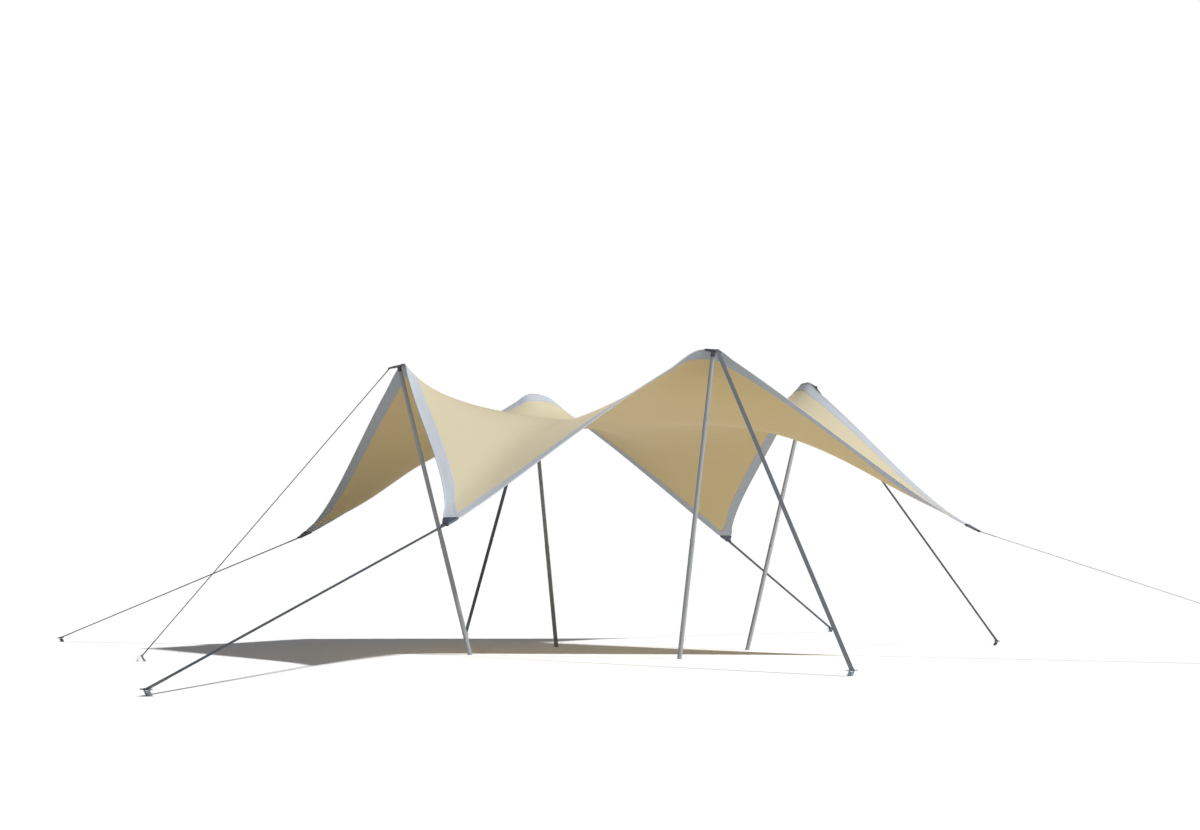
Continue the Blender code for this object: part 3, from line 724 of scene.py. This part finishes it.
# %% Hem bands
BAND_INNER = 0.0010
BAND_OUTER = 0.0018
BEAD_RADIUS = 0.005
BAND_STEPS = 260
CORNER_STEPS = 6
CAPS = 2
BEVEL_RUN = 0.001
BEVEL_RISE = 0.0004
FLAT_DEPTHS = (0.112, 0.09, 0.06, 0.035)
BEAD_LEAVE = 0.017
BEAD_OPENING = 40
BEAD_POINTS = 11
FOLD_DEPTH = 0.014
FOLD_HALF_GAP = 0.0006


def band_section():
    """The folded band's outline as (depth from the edge, height over the cloth), and its lower faces."""
    flat_top = [(HEM_WIDTH, BAND_INNER), (HEM_WIDTH, BAND_OUTER - BEVEL_RISE)]
    flat_top += [(depth, BAND_OUTER) for depth in (HEM_WIDTH - BEVEL_RUN, *FLAT_DEPTHS, BEAD_LEAVE)]
    turns = np.radians(np.linspace(BEAD_OPENING, 360 - BEAD_OPENING, BEAD_POINTS))
    bead = [(BEAD_RADIUS + BEAD_RADIUS * math.cos(a), BEAD_RADIUS * math.sin(a)) for a in turns]
    flat_low = [(depth, -height) for depth, height in reversed(flat_top)]
    inner_low = [(depth, -BAND_INNER) for depth in FLAT_DEPTHS]
    fold = [(FOLD_DEPTH, -FOLD_HALF_GAP), (FOLD_DEPTH, FOLD_HALF_GAP)]
    inner_top = [(depth, -height) for depth, height in reversed(inner_low)]
    outline = flat_top + bead + flat_low + inner_low + fold + inner_top
    first_low = len(flat_top) + BEAD_POINTS // 2
    last_low = len(flat_top + bead + flat_low) - 1
    return np.array(outline), range(first_low, last_low)


def build_band(side, upper_finish, shaded_finish):
    """One side's band, swept from the band it starts against to the low plate where it ends."""
    section, lower_faces = band_section()
    jaw_start, jaw_end = SHEET_SIDE / 2 - PLATE_HALF_WIDTH, SHEET_SIDE / 2 + PLATE_HALF_WIDTH
    runs = np.concatenate([
        np.linspace(HEM_WIDTH, jaw_start, BAND_STEPS // 2),
        np.linspace(jaw_start, jaw_end, JAW_STEPS + 1)[1:-1],
        np.linspace(jaw_end, SHEET_SIDE - HEM_WIDTH, BAND_STEPS // 2),
        np.linspace(SHEET_SIDE - HEM_WIDTH, SHEET_SIDE, CORNER_STEPS + 1)[1:],
    ])
    run = np.repeat(runs, len(section))
    depth = np.tile(section[:, 0], len(runs))
    height = np.tile(section[:, 1], len(runs))
    verts = sheet_at(*on_side(side, run, depth), height)
    faces = tube_faces(len(runs), len(section))
    name = RING[2 * side + 1] + "_hem"
    band = piece(name + "_band", verts, faces, upper_finish, np.stack([run, depth], axis=1))
    # The lower faces take the darker finish of painted shade
    band.data.materials.append(shaded_finish)
    for polygon in band.data.polygons[:-CAPS]:
        polygon.material_index = int(polygon.index % len(section) in lower_faces)
    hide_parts(name)
    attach(band, "root")
    return band


band_upper = grey_band("grey_band", BAND_DARK, BAND_LIGHT)
band_painted_shade = grey_band("grey_band_painted_shade", SHADED_BAND_DARK, SHADED_BAND_LIGHT)
bands = [build_band(side, band_upper, band_painted_shade) for side in range(SIDES)]
print("hem bands:", len(bands))

# %% [markdown]
# The band is sewn on with two rows of lockstitch beside the cloth and one row
# beside the cord, on both faces. A texture could draw them, but each stitch is a
# real little form here, a long diamond of thread that stands half out of the band,
# so it catches the light.

# %% Stitches
STITCH_PITCH = 0.010
STITCH_LENGTH = 0.0075
STITCH_HALF_WIDTH = 0.0008
STITCH_PROUD = 0.0006
STITCH_ROWS = (0.018, 0.104, 0.113)
STITCH_MARGIN = 0.02
THREAD_COLOURS = ((0.30, 0.32, 0.35), (0.42, 0.44, 0.47))
THREAD_TWIST = (900.0, 1.0)
THREAD_RELIEF = (0.0002, 0.4)
DIAMOND_FACES = ((0, 1, 4), (1, 2, 4), (2, 3, 4), (3, 0, 4), (1, 0, 5), (2, 1, 5), (3, 2, 5), (0, 3, 5))


def diamonds(starts, ends, sides, ups):
    """Closed long diamonds from starts to ends, half widths along sides and half heights along ups."""
    middle = (starts + ends) / 2
    corners = [starts, middle + sides, ends, middle - sides, middle + ups, middle - ups]
    verts = np.stack(corners, axis=1).reshape(-1, 3)
    first = np.arange(len(starts))[:, None, None] * len(corners)
    return verts, (first + np.array(DIAMOND_FACES)[None]).reshape(-1, 3)


def build_hem_stitches(side, material):
    """All rows of one side's stitches, on both faces of its band."""
    verts, faces, total = [], [], 0
    margin = HEM_WIDTH + STITCH_MARGIN
    starts = np.arange(margin, SHEET_SIDE - margin, STITCH_PITCH)
    for depth in STITCH_ROWS:
        for face in (1, -1):
            top = face * BAND_OUTER
            ends = sheet_at(*on_side(side, starts + STITCH_LENGTH, depth), top)
            begins = sheet_at(*on_side(side, starts, depth), top)
            beside = sheet_at(*on_side(side, starts, depth + STITCH_HALF_WIDTH), top) - begins
            above = sheet_at(*on_side(side, starts, depth), top + face * STITCH_PROUD) - begins
            some_verts, some_faces = diamonds(begins, ends, beside, above)
            verts.append(some_verts)
            faces.append(some_faces + total)
            total += len(some_verts)
    name = RING[2 * side + 1] + "_hem_stitches"
    sewn = piece(name, np.concatenate(verts), np.concatenate(faces).tolist(), material)
    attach(sewn, "root")
    return sewn


thread = hard_finish("grey_thread", 0.6, 0.0, THREAD_COLOURS, THREAD_TWIST, THREAD_TWIST, THREAD_RELIEF)
stitches = [build_hem_stitches(side, thread) for side in range(SIDES)]
plates = [name + "_plate" for name in RING]
print("stitches a side:", len(stitches[0].data.polygons) // len(DIAMOND_FACES))

# %% [markdown]
# Clamp plates are slate grey castings with a fine powder coat. The solids carry
# the fan, the forked nose and the pin. What a casting has besides is dressed on:
# a raised rim, ribs that run together towards the nose, and the bolts that pull
# the two halves together on the cloth.

# %% Casting finish
COAT_COLOURS = ((0.040, 0.050, 0.068), (0.075, 0.090, 0.112))
COAT_CLOUDS = (35.0, 3.0)
COAT_GRAIN = (600.0, 2.0)
COAT_RELIEF = (0.0003, 0.4)
COAT_SHINE = (0.42, 0.6)
BLACK_COLOURS = ((0.012, 0.013, 0.015), (0.03, 0.032, 0.036))
BLACK_CLOUDS = (60.0, 3.0)
BLACK_RELIEF = (0.0004, 0.3)
BLACK_SHINE = (0.45, 0.65)


def refinish(solid, material):
    """Gives a measured solid its finish."""
    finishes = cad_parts[solid].data.materials
    finishes.clear()
    finishes.append(material)


coat = hard_finish("slate_coat", 0.5, 0.25, COAT_COLOURS, COAT_CLOUDS, COAT_GRAIN, COAT_RELIEF, COAT_SHINE)
black = hard_finish(
    "black_part", 0.55, 0.0, BLACK_COLOURS, BLACK_CLOUDS, BLACK_CLOUDS, BLACK_RELIEF, BLACK_SHINE,
)
for name in plates:
    refinish(name, coat)

# %% Plate trim
RIM_WIDTH = 0.005
RIM_HEIGHT = 0.0015
RIB_HALF_WIDTH = 0.0025
RIB_HEIGHT = 0.0012
PLATE_SHOULDER = 0.028
NOSE_START = 0.124
NOSE_HALF_WIDTH = 0.0305
PLATE_INSET = 0.0025
RIDGE_TOP_SHARE = 0.6
RIB_START = 0.014
RIB_STOP = NOSE_START - 0.006
RIB_SPREAD_AT_JAW = 0.040
RIB_SPREAD_AT_NOSE = 0.010
TRIM_SINK = 0.0005
ROUND_SIDES = 24
HEX_SIDES = 6
KNOB_TOP_SHARE = 0.7
BOLTS = ((0.022, 0.056), (0.022, -0.056), (0.093, 0.0))
WASHER_RADIUS = 0.0075
WASHER_HEIGHT = 0.0016
BOLT_HEAD_RADIUS = 0.0055
BOLT_HEAD_HEIGHT = 0.0042
BOLT_HEAD_DOME = 0.0004
NUT_RADIUS = 0.0060
NUT_HEIGHT = 0.0055
NUT_DOME = 0.0015
HEX_SINK = 0.0010

# Each cheek's radius, and how far out from the plate's middle it starts and ends
CHEEKS = ((0.0105, 0.0317, 0.0350), (0.006, 0.0345, 0.0375))
CHEEK_DOME = 0.0008


def bar_between(start, end, half_width, base, top):
    """A low ridge with sloping sides between two points of the plate's face."""
    start, end = np.array(start), np.array(end)
    run = (end - start) / np.linalg.norm(end - start)
    side = np.array([-run[1], run[0]]) * half_width
    ridge = side * RIDGE_TOP_SHARE
    section = ((-side, base), (-ridge, top), (ridge, top), (side, base))
    verts = [(*(point + edge), height) for point in (start, end) for edge, height in section]
    return verts, tube_faces(2, len(section))


def round_knob(centre, radius, base, top, sides, dome=0.0):
    """A short upright prism with a slightly smaller, raised middle."""
    rings = ((radius, base), (radius, top), (radius * KNOB_TOP_SHARE, top + dome))
    verts = []
    for reach, height in rings:
        for s in range(sides):
            angle = 2 * math.pi * s / sides
            verts.append((centre[0] + reach * math.cos(angle), centre[1] + reach * math.sin(angle), height))
    return verts, tube_faces(len(rings), sides)


def gather(parts):
    """One list of points and one of faces, from those of several parts."""
    verts, faces = [], []
    for some_verts, some_faces in parts:
        faces += [tuple(v + len(verts) for v in face) for face in some_faces]
        verts += some_verts
    return verts, faces


def plate_ridges():
    """Rim and ribs on both faces of a plate."""
    wide = PLATE_HALF_WIDTH - PLATE_INSET - RIM_WIDTH / 2
    nose = NOSE_HALF_WIDTH - RIM_WIDTH / 2
    left = [(PLATE_INSET + RIM_WIDTH / 2, wide), (PLATE_SHOULDER, wide), (NOSE_START, nose)]
    outline = left + [(x, -y) for x, y in reversed(left)]
    parts = []
    for face in (1, -1):
        base, top = face * (PLATE_THICKNESS / 2 - TRIM_SINK), face * (PLATE_THICKNESS / 2 + RIM_HEIGHT)
        for start, end in zip(outline, outline[1:] + outline[:1]):
            parts.append(bar_between(start, end, RIM_WIDTH / 2, base, top))
        rib_top = face * (PLATE_THICKNESS / 2 + RIB_HEIGHT)
        for spread in (-1, 0, 1):
            start, end = (RIB_START, spread * RIB_SPREAD_AT_JAW), (RIB_STOP, spread * RIB_SPREAD_AT_NOSE)
            parts.append(bar_between(start, end, RIB_HALF_WIDTH, base, rib_top))
    return gather(parts)


def plate_bolts():
    """Bolt heads above, and longer domed nuts below, each on its washer."""
    face = PLATE_THICKNESS / 2
    washer, head, nut = face + WASHER_HEIGHT, face + BOLT_HEAD_HEIGHT, face + NUT_HEIGHT
    parts = []
    for centre in BOLTS:
        parts.append(round_knob(centre, WASHER_RADIUS, face - TRIM_SINK, washer, ROUND_SIDES))
        parts.append(round_knob(centre, BOLT_HEAD_RADIUS, face + HEX_SINK, head, HEX_SIDES, BOLT_HEAD_DOME))
        parts.append(round_knob(centre, WASHER_RADIUS, TRIM_SINK - face, -washer, ROUND_SIDES))
        parts.append(round_knob(centre, NUT_RADIUS, -face - HEX_SINK, -nut, HEX_SIDES, -NUT_DOME))
    return gather(parts)


def plate_cheeks():
    """Round black cheeks on both outer sides of the fork, and the pin's heads."""
    parts = []
    for side in (1, -1):
        for radius, start, end in CHEEKS:
            verts, faces = round_knob((0.0, 0.0), radius, start, end, ROUND_SIDES, CHEEK_DOME)
            verts = [(PLATE_LENGTH - PIN_FROM_END + x, side * z, y) for x, y, z in verts]
            parts.append((verts, faces))
    return gather(parts)


def dress(name, shape, matrix, material, smooth_below=40.0):
    """A dressed piece, with its points and faces laid in the frame that matrix gives."""
    verts, faces = shape
    placed = [matrix @ Vector(v) for v in verts]
    made = piece(name, placed, faces, material, smooth_below=smooth_below)
    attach(made, "root")
    return made


ridges, bolts, cheeks = plate_ridges(), plate_bolts(), plate_cheeks()
for k, name in enumerate(RING):
    dress(name + "_plate_ridges", ridges, plate_frame(k), coat, smooth_below=20.0)
    dress(name + "_plate_bolts", bolts, plate_frame(k), black)
    dress(name + "_plate_cheeks", cheeks, plate_frame(k), black)
print("plates dressed:", len(RING))

# %% [markdown]
# Poles are satin aluminium tubes that slide into each other and lock by a spring
# button in a hole. The tubes are measured solids and only need their finish. The
# buttons and the thin sleeve at each joint are small pieces of their own.

# %% Pole finish
TUBE_DARK = (0.245, 0.26, 0.27)
TUBE_LIGHT = (0.285, 0.30, 0.31)
POLYMER_COLOURS = ((0.04, 0.045, 0.055), (0.075, 0.08, 0.09))
POLYMER_CLOUDS = (80.0, 3.0)
POLYMER_RELIEF = (0.0003, 0.3)


def satin_tube():
    material, tree, shader = finish("satin_tube", 0.5, metallic=0.15)
    cloudy = noise(tree, "Object", (6.0, 6.0, 3.0))
    grain = noise(tree, "Object", (450.0, 450.0, 60.0), detail=2.0)
    feed(
        tree, shader,
        Base_Color=between(tree, cloudy, TUBE_DARK, TUBE_LIGHT),
        Roughness=ranged(tree, grain, low=0.42, high=0.56),
        Specular_IOR_Level=0.25,
        Normal=bump(tree, grain, distance=0.0001, strength=0.3),
    )
    return material


tube = satin_tube()
polymer = hard_finish(
    "dark_polymer", 0.5, 0.0, POLYMER_COLOURS, POLYMER_CLOUDS, POLYMER_CLOUDS, POLYMER_RELIEF,
)
for name in RING[1::2]:
    for part, material in (("head", polymer), ("upper", tube), ("middle", tube), ("lower", tube)):
        refinish(f"{name}_pole_{part}", material)

# %% Pole joints
POLE_SEAT = 0.045
TUBE_SIDES = 32

# Each joint's depth below the pole's top, and the radii of its inner and outer tube
JOINTS = ((0.62, 0.021, 0.0225), (1.88, 0.0225, 0.024))
SLEEVE_WALL = 0.0012
SLEEVE_ABOVE = 0.010
SLEEVE_BELOW = 0.016
SLEEVE_NECK = 0.0022
SLEEVE_BEVEL = 0.001
SLEEVE_HEM = 0.0005
SLEEVE_REST = 0.0004
INNER_GAP = 0.0002
OUTER_GAP = 0.0001
BUTTON_RADIUS = 0.0042
BUTTON_SINK = 0.0004
BUTTON_HEIGHT = 0.0016
BUTTON_DOME = 0.0016
BUTTON_SIDES = 20
BUTTON_BELOW_JOINT = 0.045


def turned(profile):
    """A ring turned about local z from a closed outline of (radius, height)."""
    verts = []
    for s in range(TUBE_SIDES):
        angle = 2 * math.pi * s / TUBE_SIDES
        verts += [(r * math.cos(angle), r * math.sin(angle), z) for r, z in profile]
    return verts, tube_faces(TUBE_SIDES, len(profile), closed=True)


def joint_sleeve(depth, inner, outer):
    """A thin sleeve that closes the step between two tubes."""
    lip = outer + SLEEVE_WALL
    outline = [
        (inner + INNER_GAP, SLEEVE_ABOVE - depth),
        (inner + SLEEVE_NECK, SLEEVE_ABOVE - SLEEVE_BEVEL - depth),
        (lip, SLEEVE_BEVEL - depth),
        (lip, -SLEEVE_BELOW - depth),
        (outer + OUTER_GAP, -SLEEVE_BELOW - SLEEVE_HEM - depth),
        (outer + OUTER_GAP, SLEEVE_REST - depth),
        (inner + INNER_GAP, SLEEVE_REST - depth),
    ]
    return turned(outline)


def spring_button(depth, radius):
    """A domed button on the side of the outer tube, below the joint."""
    base, top = radius - BUTTON_SINK, radius + BUTTON_HEIGHT
    verts, faces = round_knob((0.0, 0.0), BUTTON_RADIUS, base, top, BUTTON_SIDES, BUTTON_DOME)
    return [(z, x, y - depth - BUTTON_BELOW_JOINT) for x, y, z in verts], faces


def pole_frame(k):
    """Where the top of the pole under plate k is, with z running up along it."""
    return plate_frame(k) @ Matrix.Translation((POLE_SEAT, 0, -PLATE_THICKNESS / 2 - JAW_GAP))


for k in range(1, len(RING), 2):
    sleeves = gather([joint_sleeve(*joint) for joint in JOINTS])
    buttons = gather([spring_button(depth, outer) for depth, inner, outer in JOINTS])
    dress(RING[k] + "_pole_sleeves", sleeves, pole_frame(k), tube)
    dress(RING[k] + "_pole_buttons", buttons, pole_frame(k), polymer)
print("poles dressed:", len(RING) // 2)

# %% [markdown]
# A guy is one length of slate webbing. Each end goes round its pin or bar, folds
# back under itself for a hand's length and is sewn down with a box and a cross. The
# whole strap is one ribbon swept along that path, so its folded ends are real.

# %% Webbing finish
WEBBING_DARK = (0.037, 0.046, 0.056)
WEBBING_LIGHT = (0.057, 0.069, 0.082)
WEBBING_RIB = 0.0030
WEBBING_PICK = 0.0016


def slate_webbing():
    material, tree, shader = finish("slate_webbing", 0.7)
    cloudy = noise(tree, "UV", (2.0, 60.0, 1.0))
    long_ribs = bump(tree, ribs(tree, "UV", WEBBING_RIB, "Y"), distance=0.0006, strength=0.4)
    picks = ribs(tree, "UV", WEBBING_PICK, "X")
    feed(
        tree, shader,
        Base_Color=between(tree, cloudy, WEBBING_DARK, WEBBING_LIGHT),
        Roughness=ranged(tree, cloudy, low=0.62, high=0.78),
        Normal=bump(tree, picks, distance=0.0003, strength=0.3, under=long_ribs),
    )
    return material


# %% Straps
STRAP_WIDTH = 0.045
STRAP_THICKNESS = 0.002
EYE_RADIUS = 0.0065
EYE_STEPS = 8
EYE_OPENING = math.radians(60)
PIN_RADIUS = 0.004
EYE_POINTS = 17
LAP = 0.19
LAP_START = 0.018
LAP_POINTS = 12
MIDDLE_POINTS = 12
LAP_OVERHANG = 0.005
LAYER_GAP = 0.0001

# The webbing's section from its edge inwards: run in metres, share of the full height
WEBBING_EDGE = ((0.0, 0.4), (0.0012, 1.0), (0.005, 0.86))

# Past the lap the strap slopes to its middle line: run in metres, share of the layer's height
LAP_SLOPE = ((0.02, 0.3), (0.035, 0.0))
SEWN_START = 0.035
SEWN_END = LAP - 0.008
SEWN_MARGIN = 0.004
SEAM_PITCH = 0.005
SEAM_STITCH = 0.0037
SEAM_FIRST = 0.001
SEAM_LAST = 0.003
SEAM_HALF_WIDTH = 0.0007
SEAM_PROUD = 0.0005
STAKE_LEAN = math.radians(35)
STAKE_BAR_HEIGHT = 0.050
STAKE_BAR_RADIUS = 0.005

# Each stake's reach in metres, and its swing from the plate's bearing in degrees
STAKES = {
    "front_left": (7.75, -2.17), "front": (4.95, 0.3), "front_right": (7.54, -2.0), "right": (4.95, 1.0),
    "back_right": (7.75, -2.17), "back": (4.95, 0.3), "back_left": (7.54, -2.0), "left": (4.95, 1.0),
}


def strap_line(k):
    """Strap k's frame, with x from the plate's pin towards the stake, and its length from eye to eye."""
    reach, swing = STAKES[RING[k]]
    pin = plate_frame(k) @ Vector((PLATE_LENGTH - PIN_FROM_END, 0, 0))
    ground = outward(bearing(k) + math.radians(swing)) * reach
    away = math.atan2(ground.y - pin.y, ground.x - pin.x)
    bar = ground + outward(away) * STAKE_BAR_HEIGHT * math.tan(STAKE_LEAN)
    bar.z = STAKE_BAR_HEIGHT
    line = (bar - pin).normalized()
    across_fork = bearing(k) + (PEAK_SWING if RING[k] in ("front", "back") else 0.0)
    skew = abs(math.sin(away - across_fork)) * STRAP_WIDTH / 2
    # The solid's eye has flat steps, so the pin sits a little inside the round one
    snug = EYE_RADIUS * math.cos((math.pi - EYE_OPENING) / EYE_STEPS) - JAW_GAP
    start = pin + line * max(0.0, snug - PIN_RADIUS - skew)
    end = bar - line * (snug - STAKE_BAR_RADIUS)
    return tilted_frame(away, start, math.asin(-line.z)), (end - start).length


def eye_path():
    """Middle of the webbing from the folded end, round the pin at zero and out along the strap."""
    layer = STRAP_THICKNESS / 2 + LAYER_GAP
    radius = EYE_RADIUS + STRAP_THICKNESS / 2
    tail = [(x, -layer) for x in np.linspace(LAP, LAP_START, LAP_POINTS)]
    turns = np.linspace(2 * math.pi - EYE_OPENING, EYE_OPENING, EYE_POINTS)
    eye = [(radius * math.cos(a), radius * math.sin(a)) for a in turns]
    lap = [(x, layer) for x in np.linspace(LAP_START, LAP + LAP_OVERHANG, LAP_POINTS)]
    return tail + eye + lap + [(LAP + run, share * layer) for run, share in LAP_SLOPE]


def ribbon(path):
    """Webbing swept along a path of (run, height): its points, faces and cloth coordinates."""
    path = np.array(path)
    tangent = np.gradient(path, axis=0)
    tangent /= np.linalg.norm(tangent, axis=1, keepdims=True)
    normal = np.stack([-tangent[:, 1], tangent[:, 0]], axis=1)
    half, edge = STRAP_WIDTH / 2, STRAP_THICKNESS / 2
    upper = [(run - half, height) for run, height in WEBBING_EDGE]
    upper += [(-side, height) for side, height in reversed(upper)]
    lower = [(side, -height) for side, height in reversed(upper)]
    section = lower[-1:] + upper + lower[:-1]
    verts, cloth = [], []
    run = np.concatenate([[0.0], np.cumsum(np.linalg.norm(np.diff(path, axis=0), axis=1))])
    for point, up, far in zip(path, normal, run):
        for side, height in section:
            verts.append((point[0] + up[0] * height * edge, side, point[1] + up[1] * height * edge))
            cloth.append((far, side + half))
    return verts, tube_faces(len(path), len(section)), cloth


def lap_stitches(length):
    """The sewn box and cross on both faces of both folded ends."""
    inner, outer, edge = SEWN_START, SEWN_END, STRAP_WIDTH / 2 - SEWN_MARGIN
    box = [(inner, -edge), (outer, -edge), (outer, edge), (inner, edge), (inner, -edge)]
    seams = list(zip(box, box[1:])) + [((inner, -edge), (outer, edge)), ((inner, edge), (outer, -edge))]
    begins, ends, sides, ups = [], [], [], []
    for start, end in seams:
        start, end = np.array(start), np.array(end)
        span = np.linalg.norm(end - start)
        run = (end - start) / span
        for far in np.arange(SEAM_FIRST, span - SEAM_LAST, SEAM_PITCH):
            for face in (1, -1):
                height = face * (STRAP_THICKNESS + LAYER_GAP)
                begins.append((*(start + run * far), height))
                ends.append((*(start + run * (far + SEAM_STITCH)), height))
                sides.append((-run[1] * SEAM_HALF_WIDTH, run[0] * SEAM_HALF_WIDTH, 0.0))
                ups.append((0.0, 0.0, SEAM_PROUD))
    begins, ends, sides, ups = [np.array(rows) for rows in (begins, ends, sides, ups)]
    mirror = np.array([-1.0, 1.0, 1.0])
    far_end = np.array([length, 0.0, 0.0])
    begins = np.concatenate([begins, begins * mirror + far_end])
    ends = np.concatenate([ends, ends * mirror + far_end])
    sides = np.concatenate([sides, sides * mirror])
    return diamonds(begins, ends, sides, np.tile(ups, (2, 1)))


webbing = slate_webbing()
for k, name in enumerate(RING):
    line_frame, length = strap_line(k)
    near = eye_path()
    middle_runs = np.linspace(near[-1][0], length - near[-1][0], MIDDLE_POINTS)[1:-1]
    middle = [(x, 0.0) for x in middle_runs]
    far = [(length - x, -z) for x, z in reversed(near)]
    verts, faces, cloth = ribbon(near + middle + far)
    placed = [line_frame @ Vector(v) for v in verts]
    strap = piece(name + "_webbing", placed, faces, webbing, cloth, smooth_below=50.0)
    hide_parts(name + "_strap")
    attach(strap, "root")
    verts, faces = lap_stitches(length)
    sewn = verts.tolist(), faces.tolist()
    dress(name + "_webbing_stitches", sewn, line_frame, thread)
    print(name, "strap in metres:", round(length, 3))


# %% [markdown]
# Stakes are folded steel blades with a round cross bar welded over them, coated
# grey and rubbed by the ground. They are measured solids too, and get a finish
# with scuffs that let the bare steel through.

# %% Stake finish
STEEL_COLOURS = ((0.12, 0.14, 0.165), (0.30, 0.33, 0.36))
SCUFFS = (45.0, 6.0)
SCUFF_EDGES = (0.35, 0.7)
STEEL_GRAIN = (500.0, 2.0)
STEEL_RELIEF = (0.0003, 0.4)
STEEL_SHINE = (0.35, 0.6)

steel = hard_finish(
    "worn_steel", 0.45, 0.4, STEEL_COLOURS, SCUFFS, STEEL_GRAIN, STEEL_RELIEF, STEEL_SHINE, SCUFF_EDGES,
)
for name in RING:
    refinish(name + "_stake", steel)
